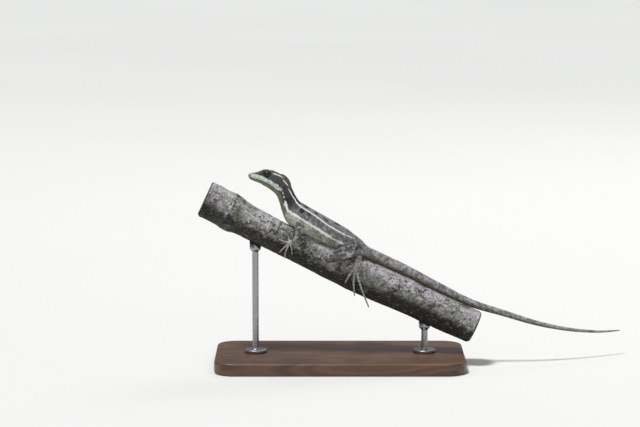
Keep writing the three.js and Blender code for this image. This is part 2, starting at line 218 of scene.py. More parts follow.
@dataclass
class Shell:
    """Points and faces of a mesh that isn't in Blender yet."""

    points: Array
    faces: list[Array]

    @staticmethod
    def joined(shells: Iterable["Shell"]) -> "Shell":
        """Puts several meshes into one.

        Args:
            shells: The meshes.

        Returns:
            One mesh with all their points and faces.
        """
        points: list[Array] = []
        faces: dict[int, list[Array]] = {}
        count = 0
        for shell in shells:
            for group in shell.faces:
                faces.setdefault(group.shape[1], []).append(group + count)
            points.append(shell.points)
            count += len(shell.points)
        return Shell(np.concatenate(points), [np.concatenate(group) for group in faces.values()])

    def outward(self) -> "Shell":
        """Turns a small closed solid's faces outwards.

        Returns:
            The solid.
        """
        middle = self.points.mean(0)
        volume = 0.0
        for group in self.faces:
            corners = self.points[group] - middle
            for k in range(1, group.shape[1] - 1):
                volume += np.einsum("ij,ij->", corners[:, 0], np.cross(corners[:, k], corners[:, k + 1]))
        return self if volume > 0 else Shell(self.points, [group[:, ::-1] for group in self.faces])

    def normals(self) -> Array:
        """Returns the direction in which the surface faces at each point."""
        total = np.zeros_like(self.points)
        for group in self.faces:
            corners = self.points[group]
            if group.shape[1] == 3:
                facing = np.cross(corners[:, 1] - corners[:, 0], corners[:, 2] - corners[:, 0])
            else:
                facing = np.cross(corners[:, 2] - corners[:, 0], corners[:, 3] - corners[:, 1])
            for column in range(group.shape[1]):
                for axis in range(3):
                    total[:, axis] += np.bincount(group[:, column], facing[:, axis], len(total))
        return unit(total)


def sleeve(rings: Array, closed: bool = True) -> Shell:
    """Skins a row of rings.

    Args:
        rings: For each ring, its points.
        closed: Whether both ends get a face that fans out from their middle.

    Returns:
        The mesh, which faces outwards where the rings turn from up to the right along their way.
    """
    count, around = rings.shape[:2]
    row = np.arange(count - 1)[:, None] * around
    here = np.arange(around)[None]
    after = (here + 1) % around
    quads = np.stack([row + here, row + around + here, row + around + after, row + after], -1)
    points = rings.reshape(-1, 3)
    faces = [quads.reshape(-1, 4)]
    if closed:
        ends = np.stack([rings[0].mean(0), rings[-1].mean(0)])
        first, last = len(points), len(points) + 1
        points = np.concatenate([points, ends])
        here, after = here[0], after[0]
        start = np.stack([np.full(around, first), here, after], 1)
        tail = (count - 1) * around
        end = np.stack([np.full(around, last), tail + after, tail + here], 1)
        faces.append(np.concatenate([start, end]))
    return Shell(points, faces)


def ball(centre: Sequence[float], radii: Sequence[float], turn: float = 0.0, around: int = 28) -> Shell:
    """Makes an ellipsoid.

    Args:
        centre: Its middle.
        radii: Its half sizes along x, y and z.
        turn: How far its +x end tips down, in degrees.
        around: How many points it has round its middle.

    Returns:
        The closed mesh.
    """
    rise = np.linspace(0.02, math.pi - 0.02, around // 2 + 1)[:, None]
    way = np.linspace(0, 2 * math.pi, around, endpoint=False)[None]
    sphere = np.stack([-np.cos(rise) + 0 * way, np.sin(rise) * np.sin(way), np.sin(rise) * np.cos(way)], -1)
    c, s = math.cos(math.radians(turn)), math.sin(math.radians(turn))
    tipped = (sphere * radii) @ np.array([[c, 0, -s], [0, 1, 0], [s, 0, c]])
    return sleeve(tipped + np.asarray(centre, float))


def mesh_of(name: str, shell: Shell) -> bpy.types.Mesh:
    """Makes a Blender mesh.

    Args:
        name: Its name.
        shell: Its points and faces.

    Returns:
        The mesh.
    """
    mesh = bpy.data.meshes.new(name)
    mesh.vertices.add(len(shell.points))
    mesh.vertices.foreach_set("co", shell.points.astype(np.float32).ravel())
    corners = np.concatenate([group.ravel() for group in shell.faces])
    counts = np.concatenate([np.full(len(group), group.shape[1]) for group in shell.faces])
    mesh.loops.add(len(corners))
    mesh.loops.foreach_set("vertex_index", corners.astype(np.int32))
    mesh.polygons.add(len(counts))
    starts = np.concatenate([[0], np.cumsum(counts)[:-1]])
    mesh.polygons.foreach_set("loop_start", starts.astype(np.int32))
    mesh.update(calc_edges=True)
    mesh.validate()
    return mesh


def object_of(name: str, data: Any) -> bpy.types.Object:
    """Puts a mesh, light or camera into the scene.

    Args:
        name: The object's name.
        data: The mesh, light or camera.

    Returns:
        The object.
    """
    made = bpy.data.objects.new(name, data)
    bpy.context.scene.collection.objects.link(made)
    return made


def values_of(parts: Any, key: str, count: int = 1, kind: type = np.int32) -> Array:
    """Reads one property of a mesh's vertices, edges, corners or faces.

    Args:
        parts: The mesh's list of them.
        key: The property.
        count: How many numbers each has.
        kind: Their type.

    Returns:
        The numbers, in one row.
    """
    values = np.empty(len(parts) * count, kind)
    parts.foreach_get(key, values)
    return values


def shell_of(made: bpy.types.Object) -> tuple[Shell, Array]:
    """Reads an object's mesh with its modifiers applied.

    Args:
        made: The object.

    Returns:
        Its points and faces, and its edges.
    """
    finished = made.evaluated_get(bpy.context.evaluated_depsgraph_get())
    mesh = finished.to_mesh()
    points = values_of(mesh.vertices, "co", 3, np.float32).reshape(-1, 3).astype(float)
    edges = values_of(mesh.edges, "vertices", 2).reshape(-1, 2)
    corners = values_of(mesh.loops, "vertex_index")
    starts, counts = values_of(mesh.polygons, "loop_start"), values_of(mesh.polygons, "loop_total")
    finished.to_mesh_clear()
    groups = [(count, starts[counts == count]) for count in (3, 4)]
    faces = [corners[first[:, None] + np.arange(count)] for count, first in groups if len(first)]
    return Shell(points, faces), edges


def remade(shell: Shell, kind: str, **settings: Any) -> tuple[Shell, Array]:
    """Runs one modifier over a mesh.

    Args:
        shell: The mesh.
        kind: The modifier's type.
        **settings: The modifier's settings.

    Returns:
        The new mesh, and its edges.
    """
    made = object_of("being_made", mesh_of("being_made", shell))
    modifier = made.modifiers.new(kind.title(), kind)
    for key, value in settings.items():
        setattr(modifier, key, value)
    new, edges = shell_of(made)
    mesh = made.data
    bpy.data.objects.remove(made)
    bpy.data.meshes.remove(mesh)
    return new, edges


# The frame that lizard and branch share


@dataclass(frozen=True)
class Perch:
    """Where the branch's own frame stands over the stand, in millimetres and degrees."""

    slope: float = 25.0
    x: float = -8.0
    z: float = 84.0

    def world(self, points: Array) -> Array:
        """Turns points of the perch's frame into metres in the model's frame.

        Args:
            points: Points in millimetres, x down the branch.

        Returns:
            The same points in the model's frame.
        """
        c, s = math.cos(math.radians(self.slope)), math.sin(math.radians(self.slope))
        x, y, z = np.asarray(points, float).T
        return np.stack([self.x + x * c + z * s, y, self.z - x * s + z * c], 1) * MM


PERCH = Perch()


def add_piece(
    name: str,
    shell: Shell,
    material: bpy.types.Material,
    tones: Array | None = None,
    vectors: dict[str, Array] | None = None,
    patches: Array | None = None,
    smooth: bool = True,
    in_perch: bool = True,
) -> bpy.types.Object:
    """Adds a finished piece of the object.

    Args:
        name: The piece's name.
        shell: Its mesh in millimetres.
        material: Its finish.
        tones: Linear colour of each point, for the markings, with the painted light and shade that some
            pieces carry in it.
        vectors: Further vectors of each point, by name.
        patches: A place on the skin's own unwrap for each point.
        smooth: Whether its faces are shaded smooth.
        in_perch: Whether its points are in the perch's frame rather than the model's.

    Returns:
        The object, which rides on the model's one body.
    """
    points = PERCH.world(shell.points) if in_perch else shell.points * MM
    mesh = mesh_of(name, Shell(points, shell.faces))
    if tones is not None:
        # The markings layer also carries painted light and shade on the bark, the scales and the skin.
        colours = mesh.color_attributes.new("markings", "FLOAT_COLOR", "POINT")
        full = np.concatenate([tones, np.ones((len(tones), 1))], 1)
        colours.data.foreach_set("color", full.astype(np.float32).ravel())
    for key, values in (vectors or {}).items():
        layer = mesh.attributes.new(key, "FLOAT_VECTOR", "POINT")
        layer.data.foreach_set("vector", values.astype(np.float32).ravel())
    if patches is not None:
        places = patches[values_of(mesh.loops, "vertex_index")].astype(np.float32)
        mesh.uv_layers.new(name="OFBake").data.foreach_set("uv", places.ravel())
    mesh.shade_smooth() if smooth else mesh.shade_flat()
    mesh.materials.append(material)
    made = object_of(name, mesh)
    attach(made, "root")
    log.info("%s: %d points, %d faces", name, len(mesh.vertices), len(mesh.polygons))
    return made


# The branch


@dataclass(frozen=True)
class Branch:
    """The length of branch: its sizes in millimetres, along its own slightly bowed axis."""

    radius: float = 13.4
    upper_end: float = -112.0
    lower_end: float = 128.0
    upper_bow: float = 0.00032
    lower_bow: float = 0.00004
    swell_at: float = 48.0
    swell_rise: float = 0.9
    swell_spread: float = 28.0
    knot_at: float = -88.0
    knot_rise: float = 1.5
    knot_spread: float = 6.0
    thick_from: float = -92.0
    thick_rise: float = 1.0
    thick_blend: float = 5.0
    rest: float = 0.22
    along: int = 490
    around: int = 196

    def bow(self, x: Array) -> Array:
        """Returns how high the axis stands at each place along it."""
        return np.where(x < 0, self.upper_bow, self.lower_bow) * x * x

    def girth(self, x: Array, turn: Array) -> Array:
        """Gives the radius of the smooth wood.

        Args:
            x: Places along the branch.
            turn: Angles round it from the top to the right, in radians.

        Returns:
            The radius there.
        """
        stout = self.radius + 0.4 * np.sin(x / 17 + 1)
        stout = stout + self.swell_rise * swell(x, self.swell_at, self.swell_spread)
        stout = stout + self.knot_rise * swell(x, self.knot_at, self.knot_spread)
        stout = stout + self.thick_rise / (1 + np.exp(-(self.thick_from - x) / self.thick_blend))
        return stout + 0.3 * np.sin(2 * turn + x / 29) + 0.2 * np.sin(3 * turn - x / 13)

    def over(self, x: Array, turn: Array, lift: Array) -> Array:
        """Places points over the bark.

        Args:
            x: Places along the branch.
            turn: Angles round it from the top to the right, in radians.
            lift: How far they stand off the smooth wood.

        Returns:
            The points.
        """
        x, turn, lift = np.broadcast_arrays(*(np.asarray(v, float) for v in (x, turn, lift)))
        reach = self.girth(x, turn) + lift
        return np.stack([x, reach * np.sin(turn), self.bow(x) + reach * np.cos(turn)], -1)

    def on_bark(self, x: float, y: float, r: float) -> float:
        """Gives the height of the middle of a body of radius r that lies on the bark at x and y."""
        return float(self.over(x, math.asin(y / (self.radius + r)), r + self.rest)[2])

    def depth(self, points: Array) -> tuple[Array, Array]:
        """Says how far points stand off the bark.

        Args:
            points: Points in the perch's frame.

        Returns:
            Their distance from the smooth wood, below 0 inside it, and the way out.
        """
        x, y, z = points.T
        z = z - self.bow(x)
        turn = np.arctan2(y, z)
        away = np.hypot(y, z) - self.girth(x, turn)
        return away, np.stack([0 * x, np.sin(turn), np.cos(turn)], 1)


BRANCH = Branch()


# Flesh: tubes through stations

BODY_STATIONS = (
    (-88.4, -1.4, 35.8, 0.6, 0.6, 0.8, 1.0),
    (-87.5, -1.4, 36.0, 2.0, 2.0, 2.3, 0.9),
    (-85.0, -1.4, 36.5, 2.9, 3.2, 3.4, 0.82),
    (-81.0, -1.4, 38.0, 4.0, 4.5, 4.6, 0.8),
    (-76.5, -1.4, 39.6, 6.4, 6.1, 5.5, 0.8),
    (-71.0, -1.5, 40.1, 7.4, 6.8, 6.3, 0.84),
    (-65.5, -1.5, 39.6, 7.7, 7.2, 6.9, 0.9),
    (-60.5, -1.5, 37.9, 7.4, 7.0, 6.8, 0.95),
    (-56.3, -1.6, 34.7, 7.2, 6.4, 5.9, 1.0),
    (-52.4, -1.6, 30.6, 7.6, 6.2, 5.7, 1.0),
    (-47.5, -1.7, 26.7, 8.2, 7.6, 6.4, 1.0),
    (-41.5, -1.8, 24.0, 9.3, 10.0, 7.7, 1.0),
    (-33.0, -1.9, 22.8, 9.7, 11.0, 8.4, 1.0),
    (-20.0, -2.0, 22.2, 9.3, 11.5, 9.0, 1.0),
    (-5.0, -1.8, 21.6, 8.6, 11.0, 8.9, 1.0),
    (6.0, -1.5, 20.8, 7.7, 9.2, 8.0, 1.0),
    (14.0, -1.1, 19.9, 6.5, 7.0, 6.6, 1.0),
    (21.5, -0.6, BRANCH.on_bark(21.5, -0.6, 4.7), 4.9, 4.7, 4.5, 1.0),
    (31.0, 0.0, BRANCH.on_bark(31.0, 0.0, 4.4), 4.6, 4.4, 4.0, 1.0),
    (58.0, 1.2, BRANCH.on_bark(58.0, 1.2, 4.1), 4.4, 4.1, 3.5, 1.0),
    (88.0, 2.2, BRANCH.on_bark(88.0, 2.2, 3.6), 3.7, 3.6, 3.0, 1.0),
    (117.0, 2.6, BRANCH.on_bark(117.0, 2.6, 3.0), 3.0, 3.0, 2.5, 1.0),
    (146.0, 4.6, 20.4, 2.4, 2.4, 2.0, 1.0),
    (174.0, 9.6, 23.6, 1.9, 1.9, 1.6, 1.0),
    (201.0, 18.4, 28.8, 1.4, 1.4, 1.2, 1.0),
    (225.0, 30.0, 35.6, 1.0, 1.0, 0.9, 1.0),
    (243.0, 42.0, 42.6, 0.5, 0.5, 0.5, 1.0),
)
NECK_FROM, TAIL_FROM = 8.1, 17.0
MIDLINE = -1.45


class Region(Enum):
    """What part of the animal a tube of flesh is."""

    BODY = "body"
    UPPER_ARM = "upper arm"
    FOREARM = "forearm"
    HAND = "hand"
    FINGER = "finger"
    THIGH = "thigh"
    SHIN = "shin"
    FOOT = "foot"
    TOE = "toe"


@dataclass
class Tube:
    """A run of flesh through stations.

    Each station is x, y, z, half sizes high above, low below and wide to the sides, and how square
    the section is, where 1 is round.
    """

    region: Region
    stations: Array
    upward: Array = field(default_factory=lambda: UP)
    steps: int = 24
    cap: float = 1.0

    def __post_init__(self) -> None:
        """Measures the tube along its middle."""
        self.stations = np.asarray(self.stations, float)
        self.last = len(self.stations) - 1
        self.fine = np.linspace(0, self.last, self.steps * self.last + 1)
        self.middle = through(self.stations[:, :3], self.fine)
        gaps = np.linalg.norm(np.diff(self.middle, axis=0), axis=1)
        self.run = np.concatenate([[0], np.cumsum(gaps)])

    @staticmethod
    def limb(
        region: Region, points: Sequence[Array], radii: Sequence[float], upward: Array = UP, flat: float = 1.0
    ) -> "Tube":
        """Makes a round tube with a radius at each point, flat times as high as wide."""
        rows = [(*place, radius * flat, radius * flat, radius, 1.0) for place, radius in zip(points, radii)]
        return Tube(region, np.array(rows), upward)

    def frames(self, at: Array) -> tuple[Array, Array, Array, Array, Array]:
        """Reads the tube's sections.

        Args:
            at: Fractional station numbers.

        Returns:
            The middle, the directions ahead, to the side and up, and the sizes high, low, wide
            and square.
        """
        rows = through(self.stations, at)
        ahead = through(self.stations[:, :3], np.minimum(at + 0.05, self.last))
        ahead = unit(ahead - through(self.stations[:, :3], np.maximum(at - 0.05, 0)))
        side = unit(np.cross(self.upward, ahead))
        return rows[..., :3], ahead, side, np.cross(ahead, side), rows[..., 3:]

    def places(self, at: Array, angle: Array, lift: float = 0.0) -> Array:
        """Places points on the tube.

        Args:
            at: Fractional station numbers.
            angle: Angles from the top to the right, in degrees.
            lift: How far the points stand off.

        Returns:
            The points.
        """
        at, angle = np.broadcast_arrays(np.asarray(at, float), np.asarray(angle, float))
        middle, _, side, up, sizes = self.frames(at)
        turn = np.radians(angle)
        square = sizes[..., 3]
        rise = np.where(np.cos(turn) > 0, sizes[..., 0], sizes[..., 1]) + lift
        upward = fuller(np.cos(turn), square) * rise
        across = fuller(np.sin(turn), square) * (sizes[..., 2] + lift)
        return middle + side * across[..., None] + up * upward[..., None]

    def shell(self, along: int, around: int) -> Shell:
        """Makes the tube's closed mesh with round ends.

        Args:
            along: How many sections it has.
            around: How many points each has.

        Returns:
            The mesh.
        """
        at = np.linspace(0, self.last, along)
        angle = np.linspace(0, 360, around, endpoint=False)
        rings = self.places(at[:, None], angle[None])
        middle, ahead, _, _, sizes = self.frames(at)
        caps = []
        for end, way in ((0, -1.0), (-1, 1.0)):
            lift = np.radians([75, 50, 25])[:: int(-way)]
            reach = way * ahead[end] * sizes[end, :3].mean() * self.cap
            around_end = rings[end] - middle[end]
            caps.append(
                middle[end] + np.sin(lift)[:, None, None] * reach + np.cos(lift)[:, None, None] * around_end
            )
        return sleeve(np.concatenate([caps[0], rings, caps[1]]))

    def at_run(self, run: Array) -> Array:
        """Returns the station numbers at lengths along the middle."""
        return np.interp(run, self.run, self.fine)


@dataclass(frozen=True)
class LimbShape:
    """The sizes of a pair of limbs, in millimetres in the perch's frame.

    Joints are x, away from the midline, and z. The palm and the digits' points are places over the
    bark: x, the angle round the branch in degrees, and how far off it.
    """

    root: Triple
    bend: Triple
    joint: Triple
    palm: Triple
    near: Triple
    far: Triple
    palm_radii: Triple
    digit: Pair
    far_middle: float
    shift: float
    regions: tuple[Region, Region, Region, Region]
    digits: tuple[tuple[Triple, ...], ...]


FRONT = LimbShape(
    root=(-36.0, 4.4, 19.5),
    bend=(-32.6, 19.6, 12.0),
    joint=(-34.2, 17.2, 4.8),
    palm=(-36.6, 84.0, 1.7),
    near=(3.3, 3.0, 2.6),
    far=(2.5, 2.6, 1.6),
    palm_radii=(1.6, 1.9, 1.9),
    digit=(0.72, 0.42),
    far_middle=0.5,
    shift=-7.0,
    regions=(Region.UPPER_ARM, Region.FOREARM, Region.HAND, Region.FINGER),
    digits=(
        ((-37.0, 80, 1.4), (-38.3, 73, 1.3), (-39.6, 65, 0.75)),
        ((-37.4, 84, 1.5), (-41.0, 87, 1.5), (-45.4, 88, 0.75)),
        ((-37.0, 88, 1.5), (-39.0, 108, 1.5), (-40.3, 131, 0.75)),
        ((-36.4, 90, 1.5), (-36.2, 116, 1.5), (-34.4, 150, 0.8)),
        ((-35.8, 86, 1.4), (-33.0, 98, 1.4), (-30.6, 115, 0.75)),
    ),
)
HIND = LimbShape(
    root=(13.0, 3.8, 18.2),
    bend=(-3.4, 22.0, 4.9),
    joint=(18.2, 14.4, 19.4),
    palm=(19.4, 67.0, 1.9),
    near=(5.4, 4.9, 3.2),
    far=(3.0, 3.3, 2.1),
    palm_radii=(1.9, 1.8, 1.9),
    digit=(1.1, 0.55),
    far_middle=0.45,
    shift=6.0,
    regions=(Region.THIGH, Region.SHIN, Region.FOOT, Region.TOE),
    digits=(
        ((18.8, 56, 1.8), (15.6, 68, 1.4), (12.8, 82, 0.75)),
        ((18.6, 64, 1.7), (17.6, 94, 1.5), (17.3, 124, 0.8)),
        ((19.2, 67, 1.8), (21.2, 91, 1.5), (23.8, 115, 1.5), (28.5, 147, 3.4)),
        ((20.0, 66, 1.9), (23.0, 82, 1.6), (28.2, 106, 1.6), (35.2, 133, 2.6), (42.6, 152, 6.6)),
        ((20.6, 42, 2.8), (25.5, 60, 1.4), (30.4, 88, 0.8)),
    ),
)
CURL = {-1.0: 1.0, 1.0: 0.86}  # how far round the branch each side's digits reach


def limb_tubes(shape: LimbShape, side: float) -> list[Tube]:
    """Lays out one leg.

    Args:
        shape: The sizes of its pair.
        side: -1 on the left and 1 on the right.

    Returns:
        Its tubes: two lengths of leg, the palm or sole, and the digits.
    """
    shift = shape.shift if side > 0 else 0.0

    def joint(place: Sequence[float], share: float) -> Array:
        """Returns a joint's point, moved by a share of the shift."""
        return np.array([place[0] + shift * share, MIDLINE + side * place[1], place[2]])

    def over(place: Sequence[float]) -> Array:
        """Returns a point over the bark."""
        return BRANCH.over(place[0] + shift, math.radians(place[1] * CURL[side]) * side, place[2])

    root, bend, wrist = joint(shape.root, 0), joint(shape.bend, 0.6), joint(shape.joint, 1)
    palm = over(shape.palm)
    out = unit(palm * (0, 1, 1))
    near, far, hand, digit = shape.regions
    middle = wrist + (palm - wrist) * 0.55 + out * 0.3
    tubes = [
        Tube.limb(near, (root, (root + bend) / 2, bend), shape.near),
        Tube.limb(far, (bend, bend + (wrist - bend) * shape.far_middle, wrist), shape.far),
        Tube.limb(hand, (wrist, middle, palm), shape.palm_radii, out, 0.8),
    ]
    for row in shape.digits:
        points = [over(place) for place in row]
        radii = np.linspace(*shape.digit, len(points))
        outward = unit((points[0] + points[-1]) * (0, 0.5, 0.5))
        tubes.append(Tube.limb(digit, points, radii, outward))
    return tubes


@dataclass
class Flesh:
    """All the tubes of the animal, and what the skin and its scales need to know about them."""

    tubes: list[Tube] = field(init=False)
    reach: float = 24.0

    def __post_init__(self) -> None:
        """Lays out the tubes and their rooms on the unwrap."""
        self.body = Tube(Region.BODY, BODY_STATIONS, steps=20, cap=0.5)
        self.tubes = [self.body]
        for side in SIDES.values():
            for shape in (FRONT, HIND):
                self.tubes.extend(limb_tubes(shape, side))
        self.rooms = self.unwrap()

    def body_run(self, at: Array) -> Array:
        """Returns how far along the body's middle each station number is."""
        return np.interp(at, self.body.fine, self.body.run)

    def unwrap(self) -> list[tuple[float, float, float, float]]:
        """Gives each tube its own rectangle of the skin's unwrap: left, bottom, width and height."""
        places = [divmod(number, 8) for number in range(len(self.tubes) - 1)]
        return [(0.02, 0.55, 0.96, 0.42)] + [(0.02 + 0.12 * c, 0.02 + 0.13 * r, 0.1, 0.11) for r, c in places]

    def locate(self, points: Array) -> "Located":
        """Finds where points are on the flesh.

        Args:
            points: Points near the skin.

        Returns:
            The tube of each, and its place on that tube.
        """
        best = np.full(len(points), np.inf)
        owner = np.zeros(len(points), int)
        at, angle = np.zeros((2, len(points)))
        for number, tube in enumerate(self.tubes):
            pick, far = nearest_of(points, tube.middle)
            where = np.flatnonzero(far < self.reach)
            if not len(where):
                continue
            stations = tube.fine[pick[where]]
            turn, off = self.turned(tube, points[where], stations, far[where])
            closer = off < best[where]
            chosen = where[closer]
            best[chosen], owner[chosen] = off[closer], number
            at[chosen], angle[chosen] = stations[closer], turn[closer]
        return Located(points, owner, at, angle)

    @staticmethod
    def turned(tube: Tube, points: Array, stations: Array, far: Array) -> tuple[Array, Array]:
        """Finds the angle of points round a tube and how far they are off it.

        Args:
            tube: The tube.
            points: The points.
            stations: The station number nearest to each.
            far: Each one's distance from the middle there.

        Returns:
            The angles in degrees, and the distances off the surface.
        """
        middle, _, side, up, sizes = tube.frames(stations)
        away = points - middle
        across = (away * side).sum(1)
        rise = (away * up).sum(1)
        high = np.where(rise > 0, sizes[:, 0], sizes[:, 1])
        power = 1 / sizes[:, 3]
        turn = np.arctan2(fuller(across / sizes[:, 2], power), fuller(rise / high, power))
        angle = np.degrees(turn)
        surface = tube.places(stations, angle)
        return angle, far - np.linalg.norm(surface - middle, axis=1)


class Rows:
    """Values that belong together, with one row for each point."""

    def taken(self, chosen: Array) -> Any:
        """Returns only the chosen rows."""
        return type(self)(*(values[chosen] for values in vars(self).values()))

    @classmethod
    def joined(cls, groups: Sequence["Rows"]) -> Any:
        """Returns several sets of rows as one."""
        return cls(*(np.concatenate(values) for values in zip(*(vars(group).values() for group in groups))))


@dataclass
class Located(Rows):
    """Points on the flesh, with the tube of each and its place on that tube."""

    points: Array
    owner: Array
    at: Array
    angle: Array


# Colours


def tone(red: float, green: float, blue: float) -> Array:
    """Turns a colour as a screen shows it, 0 to 255, into linear light."""
    value = np.array([red, green, blue]) / 255
    return np.where(value <= 0.04045, value / 12.92, ((value + 0.055) / 1.055) ** 2.4)


def mixed(first: Array, second: Array, share: Array) -> Array:
    """Returns a mix of two colours, with a share of the second for each point."""
    return first + (second - first) * np.clip(share, 0, 1)[:, None]


def layered(base: Array, *layers: tuple[Array, Array]) -> Array:
    """Lays colours over a colour.

    Args:
        base: The lowest colour.
        *layers: The further colours, each with its share for each point.

    Returns:
        The mixed colour of each point.
    """
    for colour, share in layers:
        base = mixed(base, colour, share)
    return base


BACK = tone(132, 123, 124)
FLANK = tone(104, 101, 101)
ROSE = tone(128, 111, 111)
LOW_FLANK = tone(182, 187, 177)
OLIVE = tone(108, 112, 97)
BELLY = tone(152, 155, 136)
FLECK = tone(200, 208, 196)
CHEST = tone(196, 194, 180)
# The throat's own colour darkened with painted shade under the jaw.
THROAT_SHADED = tone(130, 128, 105)
CROWN = tone(88, 81, 69)
TEMPLE = tone(66, 63, 65)
SNOUT = tone(150, 147, 149)
NECK_SIDE = tone(64, 62, 61)
LIP = tone(208, 225, 211)
STRIPE = tone(236, 244, 238)
EYE_RIM = tone(24, 23, 24)
BLOTCH = tone(32, 33, 35)
ARM = tone(88, 83, 84)
HAND = tone(168, 165, 155)
WRIST = tone(126, 121, 114)
THIGH = tone(90, 82, 83)
KNEE = tone(98, 89, 88)
SHIN = tone(98, 96, 100)
FOOT = tone(178, 175, 166)
BAND = tone(46, 43, 42)
PALE_SPOT = tone(182, 181, 180)
TAIL_TOP = tone(146, 141, 143)
TAIL_UNDER = tone(92, 89, 64)
LIMB_TONES = {
    Region.UPPER_ARM: (ARM, ARM),
    Region.FOREARM: (ARM, WRIST),
    Region.HAND: (WRIST, HAND),
    Region.FINGER: (HAND, HAND),
    Region.THIGH: (THIGH, KNEE),
    Region.SHIN: (KNEE, SHIN),
    Region.FOOT: (SHIN, FOOT),
    Region.TOE: (FOOT, FOOT),
}


@dataclass(frozen=True)
class Stripe:
    """A pale line along both sides of the body.

    Its line is a list of station numbers and angles from the top; half is half its width, wobble
    how uneven its edges are, and broken how much of it is worn away.
    """

    line: tuple[Pair, ...]
    half: float
    colour: Array
    wobble: float = 0.3
    broken: float = 0.0

    def share(self, body: Tube, points: Array, seed: int) -> Array:
        """Says how much of the stripe's colour each point has.

        Args:
            body: The body's tube.
            points: Points on the skin.
            seed: Which noise roughens its edges.

        Returns:
            Shares from 0 to 1.
        """
        stations, angles = np.array(self.line).T
        count = len(stations)
        fine = np.linspace(0, count - 1, 40 * count)
        at, angle = (np.interp(fine, np.arange(count), values) for values in (stations, angles))
        total = np.zeros(len(points))
        ends = ramp(fine, 0, 0.6) * ramp(fine, count - 1, count - 1.6)
        for side in SIDES.values():
            pick, far = nearest_of(points, body.places(at, angle * side))
            edge = self.half * (0.45 + 0.55 * ends[pick]) + self.wobble * cloud(points, 1.3, 2, seed)
            worn = cloud(points, 2.2, 2, seed + 7) + 1.3 * (1 - self.broken * 2)
            total = np.maximum(total, ramp(far, edge + 0.12, edge - 0.12) * ramp(worn, -0.25, 0.25))
        return total


@dataclass(frozen=True)
class Patch:
    """A round mark on both sides of the body, with its half sizes along and round the body."""

    at: float
    angle: float
    along: float
    round: float
    colour: Array
    strength: float = 1.0

    def share(self, body: Tube, points: Array, seed: int) -> Array:
        """Says how much of the patch's colour each point has.

        Args:
            body: The body's tube.
            points: Points on the skin.
            seed: Which noise roughens its edge.

        Returns:
            Shares from 0 to 1.
        """
        total = np.zeros(len(points))
        _, ahead, _, _, _ = body.frames(np.array([self.at]))
        for side in SIDES.values():
            away = points - body.places(self.at, self.angle * side)
            along = (away @ ahead[0]) / self.along
            across = np.sqrt(np.maximum((away**2).sum(1) - (away @ ahead[0]) ** 2, 0)) / self.round
            far = np.hypot(along, across) + 0.55 * cloud(points, 2.4, 2, seed)
            total = np.maximum(total, ramp(far, 1.1, 0.85))
        return total * self.strength


STRIPES = (
    Stripe(((4.63, 44), (5.42, 36), (6.27, 26)), 0.5, STRIPE, 0.08),
    Stripe(((6.36, 44), (6.82, 44), (7.25, 40)), 0.52, STRIPE, 0.08),
    Stripe(
        (
            (7.5, 48), (8.2, 44), (9.26, 34), (10.23, 36), (11.53, 39),
            (12.45, 41), (12.69, 44), (13.17, 53), (13.6, 57),
        ),
        0.54,
        STRIPE,
        0.07,
    ),
    Stripe(((13.2, 53), (13.64, 58), (14.4, 58), (15.31, 44)), 0.5, STRIPE, 0.22, 0.15),
    Stripe(((7.2, 91), (7.45, 90)), 0.7, STRIPE, 0.3),
    Stripe(((7.7, 94), (7.95, 95)), 0.6, STRIPE, 0.3),
    Stripe(((8.2, 99), (8.5, 100)), 0.7, STRIPE, 0.3),
    Stripe(((8.9, 102), (9.3, 104), (9.73, 108)), 1.3, STRIPE, 0.5),
    Stripe(((9.7, 106), (10.02, 110), (10.52, 99), (11.16, 92), (12.05, 92)), 1.0, STRIPE, 0.45),
    Stripe(((12.0, 92), (12.76, 94), (12.98, 96), (13.42, 100), (13.91, 104)), 1.0, STRIPE, 0.5, 0.12),
    Stripe(((13.8, 103), (14.2, 104), (14.75, 104)), 0.8, STRIPE, 0.5, 0.4),
)
PATCHES = (
    Patch(9.33, 4, 3.6, 2.4, BLOTCH, 1.0),
    Patch(8.5, 10, 2.4, 2.2, BLOTCH, 0.95),
    Patch(10.35, 18, 2.0, 1.5, BLOTCH, 0.95),
    Patch(11.53, 6, 3.0, 2.6, BLOTCH, 1.0),
    Patch(12.39, 22, 2.4, 1.6, BLOTCH, 0.85),
    Patch(13.13, 30, 2.2, 1.5, BLOTCH, 0.85),
    Patch(13.75, 12, 2.4, 2.0, BLOTCH, 0.75),
    Patch(14.6, 14, 2.2, 1.8, BLOTCH, 0.6),
    Patch(9.05, 78, 3.0, 3.2, BLOTCH, 0.8),
    Patch(10.3, 60, 2.0, 2.4, BLOTCH, 0.6),
    Patch(11.23, 56, 2.4, 2.0, BLOTCH, 1.0),
    Patch(12.11, 54, 1.8, 1.7, BLOTCH, 0.8),
    Patch(12.85, 66, 1.6, 1.4, BLOTCH, 0.55),
    Patch(5.61, 64, 3.2, 3.0, TEMPLE, 0.6),
    Patch(6.69, 66, 3.2, 3.4, TEMPLE, 0.6),
    # A pale spot on the crown behind the eyes: a painted highlight on the bump over the eye.
    Patch(4.5, 4, 0.8, 0.8, PALE_SPOT, 0.8),
    Patch(3.6, 60, 1.7, 1.5, EYE_RIM, 0.95),
)
LIP_TOP = (
    (1.2, 30), (1.38, 34), (2.53, 56), (3.27, 74), (3.95, 84), (4.64, 90), (5.99, 90), (6.61, 90), (7.4, 84),
)
LIP_FOOT = ((1.2, 98), (1.92, 104), (2.58, 104), (3.77, 110), (4.88, 114), (6.14, 116), (7.52, 101))


